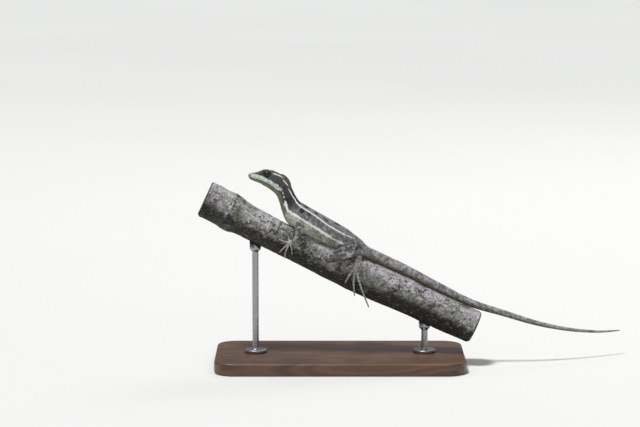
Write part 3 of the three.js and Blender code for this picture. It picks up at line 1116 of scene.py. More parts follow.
@dataclass
class Markings:
    """The animal's colours at any place on its skin."""

    flesh: Flesh

    def body(self, found: Located) -> Array:
        """Colours head, trunk and tail.

        Args:
            found: Points on the body.

        Returns:
            Their linear colours.
        """
        at, points = found.at, found.points
        angle = np.abs(found.angle)
        drift = 9 * cloud(points, 5, 2, 11)
        side = angle + drift
        pale = ramp(cloud(points / (1.4, 1, 1), 1.3, 2, 13), 0.0, 0.5)
        speckled = ramp(at, 12.1, 13.5) * ramp(angle, 90, 98) * ramp(side, 146, 128)
        dark = ramp(cloud(points, 2.2, 2, 17), -0.25, 0.2)
        low = ramp(angle, 92, 98) * ramp(angle, 118, 104)
        chest = ramp(at, 13.2, 11.8) * ramp(angle, 96, 104) * ramp(side, 170, 142)
        trunk = layered(
            BACK,
            (FLANK, ramp(side, 30, 52)),
            (ROSE, ramp(side, 44, 62) * ramp(at, 11.9, 10.9)),
            (PALE_SPOT, 0.5 * pale * ramp(at, 10.8, 11.8) * ramp(side, 40, 56)),
            (LOW_FLANK, ramp(angle + 0.4 * drift, 92, 104)),
            (BELLY, ramp(side, 122, 146)),
            (OLIVE, (0.2 + 0.75 * dark) * speckled),
            (FLECK, 0.7 * speckled * pale),
            (OLIVE, 0.45 * dark * ramp(at, 11.0, 12.0) * low),
            (CHEST, chest * (0.85 + 0.15 * cloud(points, 2.5, 2, 14))),
        )
        neck = layered(TEMPLE, (NECK_SIDE, ramp(angle, 40, 70)), (THROAT_SHADED, ramp(side, 108, 128)))
        lip_top, lip_foot = (np.interp(at, *np.array(line).T) for line in (LIP_TOP, LIP_FOOT))
        rough = angle + 3.5 * cloud(points, 1.4, 2, 21)
        lip = ramp(rough, lip_top - 4, lip_top + 4) * ramp(rough, lip_foot + 4, lip_foot - 3)
        lip *= ramp(at, 1.1, 1.6) * ramp(at, 7.5, 7.2)
        head = layered(
            CROWN,
            (TEMPLE, ramp(angle, 40, 60) * ramp(at, 3.8, 5.2)),
            (SNOUT, ramp(at + 0.3 * cloud(points, 2.0, 1, 15), 3.0, 1.7) * 0.85),
            (THROAT_SHADED, ramp(angle, 104, 122)),
            (LIP, lip * (0.9 + 0.1 * cloud(points, 2.0, 2, 5))),
            # Whiter patches along the lip from in front of the eye backwards: painted highlights, partly the
            # lip's whiter scales.
            (STRIPE, lip * ramp(at, 3.2, 4.3) * ramp(cloud(points, 1.5, 1, 22), -0.1, 0.3) * 0.8),
        )
        bars = ramp(np.sin(self.flesh.body_run(at) / 2.6 + 0.35 * cloud(points, 6, 1, 3)), 0.35, 0.9)
        pepper = cloud(points, 1.7, 1, 16)
        tail = layered(
            TAIL_TOP,
            (TAIL_UNDER, ramp(side, 80, 130)),
            (BAND, bars * (0.16 + 0.16 * cloud(points, 7, 1, 8)) * ramp(angle, 140, 90)),
            (BAND, 0.5 * ramp(pepper, 0.12, 0.4) * ramp(angle, 150, 110)),
            (PALE_SPOT, 0.5 * ramp(pepper, -0.12, -0.4) * ramp(angle, 120, 90)),
        )
        colours = layered(
            head,
            (neck, ramp(at, 7.0, 8.3)),
            (trunk, ramp(at + 0.02 * drift, 9.6, 10.7)),
            (tail, ramp(at, 15.8, 17.4)),
        )
        for number, mark in enumerate(PATCHES):
            colours = mixed(colours, mark.colour, mark.share(self.flesh.body, points, 40 + number))
        for eye in (np.linalg.norm(points - EYE.centre(way), axis=1) for way in SIDES.values()):
            colours = mixed(colours, EYE_RIM, ramp(eye + 0.4 * cloud(points, 1.6, 1, 58), 4.0, 3.2))
        return colours

    def striped(self, colours: Array, points: Array) -> Array:
        """Paints the pale lines over the colours of points."""
        shares = [line.share(self.flesh.body, points, seed) for seed, line in enumerate(STRIPES, 60)]
        return layered(colours, *((line.colour, share) for line, share in zip(STRIPES, shares)))

    def limbs(self, found: Located) -> Array:
        """Colours the legs.

        Args:
            found: Points on them.

        Returns:
            Their linear colours.
        """
        colours = np.tile(ARM, (len(found.at), 1))
        for number, tube in enumerate(self.flesh.tubes):
            here = found.owner == number
            if tube.region is Region.BODY or not here.any():
                continue
            points, at = found.points[here], found.at[here]
            first, last = LIMB_TONES[tube.region]
            start, end = (1.1, 2.0) if tube.region in (Region.FOREARM, Region.THIGH) else (0.0, 0.9)
            # Thigh and shin are darkened underneath with the band colour: painted shade, which also keeps
            # their pale spots out.
            shaded = tube.region in (Region.SHIN, Region.THIGH)
            low = ramp(np.abs(found.angle[here]), 96, 140) if shaded else 0 * at
            blend = ramp(at + 0.15 * cloud(points, 2, 1, 18), start, end)
            own = layered(first, (last, blend), (BAND, 0.6 * low))
            if tube.region in (Region.TOE, Region.FINGER):
                phase = 1.9 * hashed(np.array([[number, 3, 5]]), 4)[0]
                bars = ramp(np.sin(np.interp(at, tube.fine, tube.run) * 2.1 + phase), 0.2, 0.85)
                own = mixed(own, BAND, bars * (0.55 if tube.region is Region.TOE else 0.3))
            else:
                fine, strength = (0.9, 0.9) if tube.region is Region.FOOT else (2.4, 0.66)
                bars = ramp(cloud(points, 1.4 * fine, 3, 90 + number), -0.05, 0.45)
                spots = ramp(cloud(points, fine, 3, 120 + number), 0.1, 0.6)
                own = layered(own, (BAND, strength * bars), (PALE_SPOT, 0.7 * spots * (1 - low)))
            colours[here] = own
        return colours

    def colours(self, found: Located, striped: bool = True) -> Array:
        """Colours points anywhere on the animal.

        Args:
            found: The points.
            striped: Whether the pale lines are painted too.

        Returns:
            Their linear colours.
        """
        result = self.limbs(found)
        body = found.owner == 0
        result[body] = self.body(found.taken(body))
        speckle = 0.2 * cloud(found.points, 1.1, 2, 31) + 0.12 * cloud(found.points, 4.2, 2, 33)
        result = result * (1 + speckle)[:, None]
        if striped:
            result[body] = self.striped(result[body], found.points[body])
        return np.clip(result, 0.004, 0.95)


# The skin


@dataclass(frozen=True)
class EyeShape:
    """Where the eyes are and how their lids open, in millimetres."""

    x: float = -75.7
    away: float = 3.9
    z: float = 43.5
    radius: float = 2.4
    cornea: float = 0.16
    lid: float = 2.72
    opening: Pair = (1.72, 1.36)
    forward: float = 0.2
    upward: float = 0.12

    def centre(self, side: float) -> Array:
        """Returns the middle of one eye."""
        return np.array([self.x, MIDLINE + side * self.away, self.z])

    def axes(self, side: float) -> tuple[Array, Array, Array]:
        """Gives the directions of one eye.

        Args:
            side: -1 on the left and 1 on the right.

        Returns:
            Where it looks, and its own forward and upward directions.
        """
        gaze = unit(np.array([-self.forward, side, self.upward]))
        fore = unit(np.array([-1.0, 0.0, 0.0]) + gaze[0] * gaze)
        return gaze, fore, unit(UP - gaze[2] * gaze - (UP @ fore) * fore)

    def opened(self, points: Array, side: float) -> Array:
        """Says how far points are from the middle of the opening between the lids.

        Args:
            points: Points near the eye.
            side: -1 on the left and 1 on the right.

        Returns:
            0 in its middle, 1 on the lids' edge, and large behind the eye.
        """
        gaze, fore, upward = self.axes(side)
        away = points - self.centre(side)
        share = np.hypot(away @ fore / self.opening[0], away @ upward / self.opening[1])
        return np.where(away @ gaze > 0, share, 99.0)


EYE = EyeShape()
MOUTH = ((0.5, 97), (1.1, 102), (2.2, 109), (4.0, 115), (5.6, 118), (7.1, 109))
NOSTRIL = (1.35, 72)
EAR = (7.25, 84)
SNOUT_RIDGE = ((3.3, 52, 0.95), (2.4, 50, 0.8), (1.3, 52, 0.5))


@dataclass(frozen=True)
class Dent:
    """A small hollow in the skin with a raised rim, in millimetres."""

    deep: float
    wide: float
    rim: float
    rim_at: float
    rim_wide: float

    def lift(self, far: Array) -> Array:
        """Returns how far the skin stands out at a distance from the hollow's middle."""
        return -self.deep * swell(far, 0.0, self.wide) + self.rim * swell(far, self.rim_at, self.rim_wide)


@dataclass
class Skin:
    """One skin over the whole animal, with its mouth, nostrils, ears, lids and folds."""

    flesh: Flesh
    grain: float = 0.28
    rounds: int = 7
    coat: float = 0.1
    bark_gap: float = 0.12
    lid_sunk: float = 0.45
    mouth: Dent = Dent(0.55, 0.36, 0.14, 0.95, 0.5)
    nostril: Dent = Dent(0.75, 0.42, 0.2, 0.8, 0.3)
    ear_deep: float = 0.75
    ear_rim: float = 0.16
    fold_deep: float = 0.3
    most: int = 190000
    hood: tuple[float, ...] = (-60.0, 42.2, 8.0, 1.5, 4.8, 35.0)
    hood_root: tuple[float, ...] = (-61.0, 41.4, 7.4, 3.2, 4.6, 33.0)
    brow: tuple[float, ...] = (-75.2, 3.55, 45.5, 4.7, 2.1, 0.9, -19.0)
    jaw_muscle: tuple[float, ...] = (-64.6, 3.8, 37.9, 7.8, 3.5, 4.2, 34.0)
    shoulder: tuple[float, ...] = (-36.5, 4.9, 19.6, 6.0, 3.6, 5.6, 0.0)
    hip: tuple[float, ...] = (12.0, 4.2, 18.8, 8.0, 4.2, 5.4, 8.0)

    def solids(self) -> list[Shell]:
        """Makes the closed shapes that the skin is drawn over.

        Returns:
            Tubes and rounded forms.
        """
        body = self.flesh.body
        shells = [body.shell(10 * body.last, 72)]
        shells += [tube.shell(12 * tube.last, 20) for tube in self.flesh.tubes[1:]]
        for x, z, long, thick, tall, turn in (self.hood, self.hood_root):
            shells.append(ball((x, MIDLINE, z), (long, thick, tall), turn))
        for side in SIDES.values():
            for x, away, z, long, thick, tall, turn in (self.brow, self.jaw_muscle, self.shoulder, self.hip):
                shells.append(ball((x, MIDLINE + side * away, z), (long, thick, tall), turn))
            shells.append(ball(EYE.centre(side), (EYE.lid, EYE.lid, EYE.lid)))
            places = [body.places(at, angle * side, -0.35) for at, angle, _ in SNOUT_RIDGE]
            shells.append(Tube.limb(Region.BODY, places, [row[2] for row in SNOUT_RIDGE]).shell(12, 14))
        return shells

    def near_line(self, points: Array, line: Sequence[Pair], side: float) -> Array:
        """Returns how far points are from a line of station numbers and angles on one side of the body."""
        at = np.linspace(line[0][0], line[-1][0], 160)
        return nearest_of(points, self.flesh.body.places(at, np.interp(at, *np.array(line).T) * side))[1]

    def features(self, points: Array, found: Located) -> Array:
        """Works out how far the skin stands in or out for its small features.

        Args:
            points: The smooth skin's points.
            found: Their places on the flesh.

        Returns:
            The distance of each, outwards.
        """
        body = self.flesh.body
        lift = np.full(len(points), -self.coat)
        on_body = found.owner == 0
        for side in SIDES.values():
            lift += self.mouth.lift(self.near_line(points, MOUTH, side))
            nostril = np.linalg.norm(points - body.places(NOSTRIL[0], NOSTRIL[1] * side), axis=1)
            lift += self.nostril.lift(nostril)
            away = points - body.places(EAR[0], EAR[1] * side)
            ear = np.sqrt(away[:, 0] ** 2 + away[:, 1] ** 2 * 0.6 + (away[:, 2] / 1.4) ** 2)
            lift += -self.ear_deep * ramp(ear, 1.35, 0.75) + self.ear_rim * swell(ear, 1.5, 0.35)
        at, angle = found.at, np.abs(found.angle)
        fold = np.sin(at * 14.5 + 0.9 * cloud(points, 5, 1, 51) + 0.012 * angle)
        folds = ramp(fold, 0.72, 1.0) * ramp(angle, 60, 110) * ramp(at, 8.2, 8.7) * ramp(at, 10.9, 10.4)
        lift -= np.where(on_body, self.fold_deep * folds, 0)
        trunk = np.where(on_body, ramp(at, 9.5, 11) * ramp(at, 17, 15.5), 0)
        ribs = np.cos(points[:, 0] * 1.45) * ramp(angle, 40, 80)
        return lift + trunk * (0.2 * cloud(points, 7, 2, 52) - 0.08 * ribs)

    def opened_lids(self, points: Array) -> Array:
        """Opens the lids, by sinking the skin between them into the eye.

        Args:
            points: The skin's points.

        Returns:
            The moved points.
        """
        for side in SIDES.values():
            centre = EYE.centre(side)
            away = points - centre
            far = np.linalg.norm(away, axis=1)
            sunk = np.where(far < EYE.lid + 0.9, ramp(EYE.opened(points, side), 1.06, 0.9), 0.0)
            share = (far + (EYE.radius - self.lid_sunk - far) * sunk) / np.maximum(far, 1e-6)
            points = np.where(sunk[:, None] > 0, centre + away * share[:, None], points)
        return points

    def made(self) -> Shell:
        """Draws the skin over the solids and works its features in.

        Returns:
            The finished mesh.
        """
        whole = Shell.joined(self.solids())
        skin, edges = remade(whole, "REMESH", mode="VOXEL", voxel_size=self.grain, adaptivity=0.0)
        log.info("skin drawn over the solids: %d points", len(skin.points))
        skin.points = relax(skin.points, edges, self.rounds)
        found = self.flesh.locate(skin.points)
        skin.points = skin.points + skin.normals() * self.features(skin.points, found)[:, None]
        skin.points = self.opened_lids(skin.points)
        away, out = BRANCH.depth(skin.points)
        skin.points = skin.points + out * np.maximum(self.bark_gap - away, 0)[:, None]
        count = sum(len(group) * (group.shape[1] - 2) for group in skin.faces)
        if count > self.most:
            skin, _ = remade(skin, "DECIMATE", ratio=self.most / count)
        return skin


# Scales


class Form(Enum):
    """The shapes of scale."""

    KEELED = "keeled"
    SMOOTH = "smooth"


@dataclass(frozen=True)
class Plate:
    """One scale's shape: points to the side, backwards and outwards, for a scale 1 wide, with how light each
    point is painted, as a painted highlight on the keel and painted shade at the rim.
    """

    points: Array
    faces: Array
    light: Array

    @staticmethod
    def of(outline: Sequence[Pair], rim: Sequence[float], top: Sequence[Triple]) -> "Plate":
        """Makes a closed scale from its outline and the points of its top.

        Args:
            outline: Points round it, to the side and backwards.
            rim: How high each of them stands.
            top: One or two points of its top.

        Returns:
            The scale.
        """
        count = len(outline)
        points = [*((x, y, z) for (x, y), z in zip(outline, rim)), *top, (0.0, 0.0, -0.3)]
        under = len(points) - 1
        near = [count + int(len(top) > 1 and y > 0.1) for _, y in outline]
        faces = []
        for i in range(count):
            after = (i + 1) % count
            faces.append((i, after, near[i]))
            if near[i] != near[after]:
                faces.append((after, near[after], near[i]))
            faces.append((after, i, under))
        # Painted light: the top and keel lighter as a highlight, the rim and underside darker as shade.
        light = [0.84] * count + [1.14] * len(top) + [0.8]
        solid = Shell(np.array(points), [np.array(faces)]).outward()
        return Plate(solid.points, solid.faces[0], np.array(light))


PLATES = {
    Form.KEELED: Plate.of(
        ((0.0, -0.55), (0.42, -0.3), (0.52, 0.15), (0.0, 0.82), (-0.52, 0.15), (-0.42, -0.3)),
        (-0.12, -0.1, 0.0, 0.2, 0.0, -0.1),
        ((0.0, -0.25, 0.16), (0.0, 0.5, 0.34)),
    ),
    Form.SMOOTH: Plate.of(
        ((0.0, -0.55), (0.46, -0.35), (0.55, 0.2), (0.3, 0.6), (-0.3, 0.6), (-0.55, 0.2), (-0.46, -0.35)),
        (-0.12, -0.1, 0.0, 0.1, 0.1, 0.0, -0.1),
        ((0.0, 0.1, 0.13),),
    ),
}


@dataclass
class Roots(Rows):
    """Where scales grow: points, their size, and which form each has."""

    points: Array
    size: Array
    form: Array


@dataclass
class Sprouts(Rows):
    """Scales about to grow: their roots with their directions, colours and places on the unwrap."""

    points: Array
    size: Array
    form: Array
    facing: Array
    back: Array
    side: Array
    colour: Array
    patch: Array


class Surface:
    """The finished skin, to set things on."""

    def __init__(self, shell: Shell) -> None:
        """Builds a search tree of the skin's faces.

        Args:
            shell: The skin.
        """
        self.shell = shell
        self.faces = np.concatenate([group[:, :3] for group in shell.faces] + [
            group[:, [0, 2, 3]] for group in shell.faces if group.shape[1] == 4
        ])
        self.tree = BVHTree.FromPolygons(shell.points.tolist(), self.faces.tolist())
        self.facing = shell.normals()

    def snapped(self, points: Array, reach: float) -> tuple[Array, Array, Array]:
        """Sets points on the skin.

        Args:
            points: Points near it.
            reach: How far they may be from it.

        Returns:
            The nearest places on the skin, the skin's direction there, and which points had one.
        """
        places = points.copy()
        facing = np.zeros_like(points)
        hit = np.zeros(len(points), bool)
        find = self.tree.find_nearest
        for number, point in enumerate(points.tolist()):
            place, _, face, _ = find(point, reach)
            if place is not None:
                places[number] = place
                facing[number] = self.facing[self.faces[face]].sum(0)
                hit[number] = True
        return places, unit(facing), hit

    def scattered(self, count: int, chance: np.random.Generator) -> Array:
        """Scatters points evenly over the skin.

        Args:
            count: How many.
            chance: The source of chance.

        Returns:
            The points.
        """
        corners = self.shell.points[self.faces]
        size = np.linalg.norm(np.cross(corners[:, 1] - corners[:, 0], corners[:, 2] - corners[:, 0]), axis=1)
        face = chance.choice(len(size), count, p=size / size.sum())
        u, v = chance.random((2, count, 1))
        flip = u + v > 1
        u, v = np.where(flip, 1 - u, u), np.where(flip, 1 - v, v)
        a, b, c = (corners[face, k] for k in range(3))
        return a + u * (b - a) + v * (c - a)


BODY_SCALES = (
    (0, 0.6), (1.5, 0.9), (3, 1.0), (5, 0.95), (8, 0.72), (10.6, 0.85),
    (14, 0.98), (17, 1.0), (20, 0.92), (22, 0.8), (24, 0.6), (26, 0.42),
)
LIMB_SCALES = {
    Region.UPPER_ARM: 0.72,
    Region.FOREARM: 0.66,
    Region.HAND: 0.56,
    Region.FINGER: 0.38,
    Region.THIGH: 0.82,
    Region.SHIN: 0.72,
    Region.FOOT: 0.6,
    Region.TOE: 0.5,
}


@dataclass
class Coat:
    """The small scales of the whole animal, in rows on body and legs and scattered on the head."""

    flesh: Flesh
    surface: Surface
    markings: Markings
    row_gap: float = 0.78
    corners: int = 12
    groove: float = 0.045
    patch_scale: float = 0.0018
    least_gap: float = 0.5
    tries: int = 120000
    plate_reach: float = 0.74
    plate_top: float = 0.84
    lips_from: float = 1.05
    lips_to: float = 7.05
    seed: int = 5

    def pitch(self, found: Located) -> Array:
        """Says how large the scales are.

        Args:
            found: Places on the animal.

        Returns:
            The width of a scale at each.
        """
        turn = np.abs(found.angle)
        crown = ramp(turn, 64, 36) * ramp(found.at, 7.5, 6.0)
        size = np.interp(found.at, *np.array(BODY_SCALES).T)
        size = size * (1 + 0.25 * ramp(turn, 118, 140) * ramp(found.at, 9.5, 11.5) + 0.22 * crown)
        limb = np.array([LIMB_SCALES.get(tube.region, 1.0) for tube in self.flesh.tubes])
        size = np.where(found.owner == 0, size, limb[found.owner])
        for side in SIDES.values():
            eye = np.linalg.norm(found.points - EYE.centre(side), axis=1)
            size = size * (0.58 + 0.42 * ramp(eye, 2.9, 4.6))
        return size

    def form(self, found: Located) -> Array:
        """Returns the number of the form of scale that grows at each place, in the order of Form."""
        under = (np.abs(found.angle) > 128) & (found.at < TAIL_FROM)
        return np.where((found.owner == 0) & under, 1, 0)

    def bare(self, points: Array) -> Array:
        """Says where no small scale grows: in the eyes, nostrils, ears and mouth and under the feet.

        Args:
            points: Places on the skin.

        Returns:
            True where the skin stays bare.
        """
        body = self.flesh.body
        away, _ = BRANCH.depth(points)
        bare = away < 0.16
        lips = self.ahead_of(points, self.lips_from) & ~self.ahead_of(points, self.lips_to)
        for side in SIDES.values():
            eye = np.linalg.norm(points - EYE.centre(side), axis=1)
            bare |= (EYE.opened(points, side) < 1.12) & (eye < EYE.lid + 1)
            for (at, angle), reach in ((NOSTRIL, 0.62), (EAR, 1.15)):
                bare |= np.linalg.norm(points - body.places(at, angle * side), axis=1) < reach
            mouth = Skin(self.flesh).near_line(points, MOUTH, side)
            bare |= (mouth < 0.5) | (mouth < 2.2) & lips
        return bare

    def ahead_of(self, points: Array, at: float) -> Array:
        """Says which points are nearer to the tail than a station of the body."""
        middle, ahead, *_ = self.flesh.body.frames(np.array([at]))
        return (points - middle[0]) @ ahead[0] > 0

    def rows(self, number: int, start: float, end: float) -> tuple[Array, Array]:
        """Lays out rows of scales round one tube.

        Args:
            number: The tube.
            start: The station number that they start at.
            end: The station number that they end at.

        Returns:
            The station number and the angle of each scale.
        """
        tube = self.flesh.tubes[number]
        ats, angles = [], []
        turn = np.linspace(0, 360, 73)
        run = float(np.interp(start, tube.fine, tube.run))
        while (at := float(tube.at_run(run))) < end - 1e-6:
            ring = tube.places(np.full(len(turn), at), turn)
            lengths = np.concatenate([[0], np.cumsum(np.linalg.norm(np.diff(ring, axis=0), axis=1))])
            spot = Located(ring[:1], np.array([number]), np.array([at]), np.zeros(1))
            pitch = float(self.pitch(spot)[0])
            count = max(6, round(lengths[-1] / pitch))
            places = (np.arange(count) + 0.5 * (len(ats) % 2)) / count * lengths[-1]
            ats.append(np.full(count, at))
            angles.append((np.interp(places, lengths, turn) + 180) % 360 - 180)
            run += pitch * self.row_gap
        return np.concatenate(ats), np.concatenate(angles)

    def spread(self, taken: Array, candidates: Array, spacing: Array) -> Array:
        """Picks scattered points that keep their distance.

        Args:
            taken: Points that are there already.
            candidates: Points to pick from, in order.
            spacing: The distance that each needs.

        Returns:
            The numbers of the picked ones.
        """
        cell = float(spacing.max())
        grid: dict[tuple[int, ...], list[Triple]] = {}
        for point in taken.tolist():
            grid.setdefault(tuple(int(v // cell) for v in point), []).append(tuple(point))
        picked = []
        steps = list(itertools.product((-1, 0, 1), repeat=3))
        for number, ((x, y, z), need) in enumerate(zip(candidates.tolist(), (spacing**2).tolist())):
            i, j, k = (int(v // cell) for v in (x, y, z))
            near = (grid.get((i + di, j + dj, k + dk), ()) for di, dj, dk in steps)
            others = itertools.chain.from_iterable(near)
            if all((a - x) ** 2 + (b - y) ** 2 + (c - z) ** 2 >= need for a, b, c in others):
                picked.append(number)
                grid.setdefault((i, j, k), []).append((x, y, z))
        return np.array(picked, int)

    def roots(self) -> Roots:
        """Finds where every small scale grows.

        Returns:
            The roots, all on the skin.
        """
        groups = []
        for number, tube in enumerate(self.flesh.tubes):
            at, angle = self.rows(number, NECK_FROM if number == 0 else 0.0, tube.last)
            places, _, hit = self.surface.snapped(tube.places(at, angle), 0.75)
            found = Located(places, np.full(len(at), number), at, angle).taken(hit)
            groups.append(Roots(found.points, self.pitch(found), self.form(found)))
        rows = Roots.joined(groups)
        rows = rows.taken(self.spread(np.zeros((0, 3)), rows.points, rows.size * self.least_gap))
        loose = self.surface.scattered(self.tries, np.random.default_rng(self.seed))
        found = self.flesh.locate(loose)
        size = self.pitch(found)
        head = (found.owner == 0) & (found.at < NECK_FROM)
        need = size * np.where(head, 0.86, 0.8)
        tree = tree_of(rows.points)
        keep = np.array([tree.find(point)[2] for point in loose]) > need
        found, size, need = found.taken(keep), size[keep], need[keep]
        order = self.spread(rows.points, found.points, need)
        found, size = found.taken(order), size[order]
        every = Roots.joined([rows, Roots(found.points, size, self.form(found))])
        return every.taken(~self.bare(every.points))

    def backwards(self, found: Located, facing: Array) -> Array:
        """Gives the lie of the scales.

        Args:
            found: Places on the animal.
            facing: The skin's direction at each.

        Returns:
            The direction in which each scale points.
        """
        ahead = np.zeros_like(found.points)
        for number in np.unique(found.owner):
            here = found.owner == number
            ahead[here] = self.flesh.tubes[number].frames(found.at[here])[1]
        return unit(ahead - (ahead * facing).sum(1, keepdims=True) * facing)

    def patches(self, found: Located) -> Array:
        """Gives places on the skin's unwrap.

        Args:
            found: Places on the animal.

        Returns:
            Two coordinates for each.
        """
        rooms = np.array(self.flesh.rooms)[found.owner]
        last = np.array([tube.last for tube in self.flesh.tubes])[found.owner]
        across = rooms[:, 0] + rooms[:, 2] * np.clip(found.at / last, 0, 1)
        upward = rooms[:, 1] + rooms[:, 3] * (found.angle / 360 + 0.5)
        return np.stack([across, upward], 1)

    def grown(self, roots: Roots) -> list[tuple[str, Shell, Array, Array]]:
        """Grows a scale on each root.

        Args:
            roots: The roots.

        Returns:
            For each joined piece its name, mesh, colours and places on the unwrap.
        """
        found = self.flesh.locate(roots.points)
        _, facing, _ = self.surface.snapped(roots.points, 2.0)
        back = self.backwards(found, facing)
        side = np.cross(back, facing)
        chance = np.random.default_rng(self.seed + 1)
        turn = chance.normal(0, 0.09, len(found.at))[:, None]
        back, side = unit(back + side * turn), unit(side - back * turn)
        size = roots.size * chance.normal(1.06, 0.05, len(found.at))
        body = found.owner == 0
        head, tail = body & (found.at < NECK_FROM), body & (found.at >= TAIL_FROM)
        uneven = chance.normal(0, 0.15, len(found.at)) * np.where(head, 0.6, 1.0)
        colour = self.markings.colours(found, striped=False) * np.exp(uneven)[:, None]
        sprouts = Sprouts(roots.points, size, roots.form, facing, back, side, colour, self.patches(found))
        arms = np.array([tube.region in FRONT.regions for tube in self.flesh.tubes])[found.owner]
        parts = {"trunk": body & ~head & ~tail, "tail": tail, "arms": arms, "legs": ~body & ~arms}
        pieces = [self.mosaic(sprouts.taken(head))]
        for name, chosen in parts.items():
            shell, tones, patches = self.plated(sprouts.taken(chosen))
            tones = self.markings.striped(tones, shell.points) if name == "trunk" else tones
            pieces.append((f"scales_{name}", shell, np.clip(tones, 0, 1), patches))
        return pieces

    def plated(self, sprouts: Sprouts) -> tuple[Shell, Array, Array]:
        """Grows overlapping scales.

        Args:
            sprouts: The scales.

        Returns:
            Their mesh, colours and places on the unwrap.
        """
        shells, tones, patches = [], [], []
        for number, form in enumerate(Form):
            own = sprouts.taken(sprouts.form == number)
            if not len(own.size):
                continue
            plate = PLATES[form]
            local = plate.points[None] * own.size[:, None, None]
            points = own.points[:, None] + own.side[:, None] * local[..., :1]
            points = points + own.back[:, None] * local[..., 1:2] + own.facing[:, None] * local[..., 2:]
            faces = plate.faces[None] + (np.arange(len(points)) * len(plate.points))[:, None, None]
            shells.append(Shell(points.reshape(-1, 3), [faces.reshape(-1, 3)]))
            # Each scale's colour times its painted highlight and shade.
            tones.append((own.colour[:, None] * plate.light[None, :, None]).reshape(-1, 3))
            patches.append((own.patch[:, None] + plate.points[None, :, :2] * self.patch_scale).reshape(-1, 2))
        return Shell.joined(shells), np.concatenate(tones), np.concatenate(patches)

    def mosaic(self, sprouts: Sprouts) -> tuple[str, Shell, Array, Array]:
        """Grows the head's flat plates, each of which fills the room up to its neighbours.

        Args:
            sprouts: The plates.

        Returns:
            The piece's name, mesh, colours and places on the unwrap.
        """
        points, size, back = sprouts.points, sprouts.size, sprouts.back
        side = np.cross(back, sprouts.facing)
        way = np.linspace(0, 2 * math.pi, self.corners, endpoint=False)
        reach = np.repeat(self.plate_reach * size[:, None], self.corners, axis=1)
        tree = tree_of(points)
        for number, point in enumerate(points):
            for spot, other, _ in tree.find_range(point, 2.2 * size[number]):
                if other == number:
                    continue
                away = np.array(spot) - point
                across, behind = away @ side[number], away @ back[number]
                share = size[number] / (size[number] + size[other])
                cosine = np.maximum(np.cos(way - math.atan2(across, behind)), 0.05)
                reach[number] = np.minimum(reach[number], share * math.hypot(across, behind) / cosine)
        reach = np.maximum(reach - self.groove, 0.08)[..., None]
        spoke = side[:, None] * np.sin(way)[:, None] + back[:, None] * np.cos(way)[:, None]
        rim, _, _ = self.surface.snapped((points[:, None] + spoke * reach).reshape(-1, 3), 1.5)
        rim = rim.reshape(len(points), self.corners, 3)
        out, tall = sprouts.facing[:, None], size[:, None, None]
        inner = points[:, None] + (rim - points[:, None]) * self.plate_top + 0.11 * tall * out
        ends = [points[:, None] + 0.17 * tall * out, points[:, None] - 0.3 * out]
        grown = np.concatenate([rim - 0.1 * out, inner, *ends], 1)
        here = np.arange(self.corners)
        after = (here + 1) % self.corners
        outer, peak, under = here + self.corners, 0 * here + 2 * self.corners, 0 * here + 2 * self.corners + 1
        corners = (
            (outer, peak, outer[after]),
            (here, outer, outer[after]),
            (here, outer[after], after),
            (here, after, under),
        )
        one = Shell(grown[0], [np.concatenate([np.stack(row, 1) for row in corners])]).outward().faces[0]
        faces = one[None] + (np.arange(len(points)) * grown.shape[1])[:, None, None]
        # Painted shade at each plate's rim and underside, and a painted highlight on its top.
        light = np.concatenate([np.full(self.corners, 0.5), np.full(self.corners, 1.02), [1.12, 0.5]])
        tones = (sprouts.colour[:, None] * light[None, :, None]).reshape(-1, 3)
        flat = grown.reshape(-1, 3)
        tones = self.markings.striped(tones, flat)
        away = grown - points[:, None]
        local = np.stack([(away * axis[:, None]).sum(-1) for axis in (side, back)], -1) / tall
        patches = (sprouts.patch[:, None] + local * self.patch_scale).reshape(-1, 2)
        return "scales_head", Shell(flat, [faces.reshape(-1, 3)]), np.clip(tones, 0, 1), patches


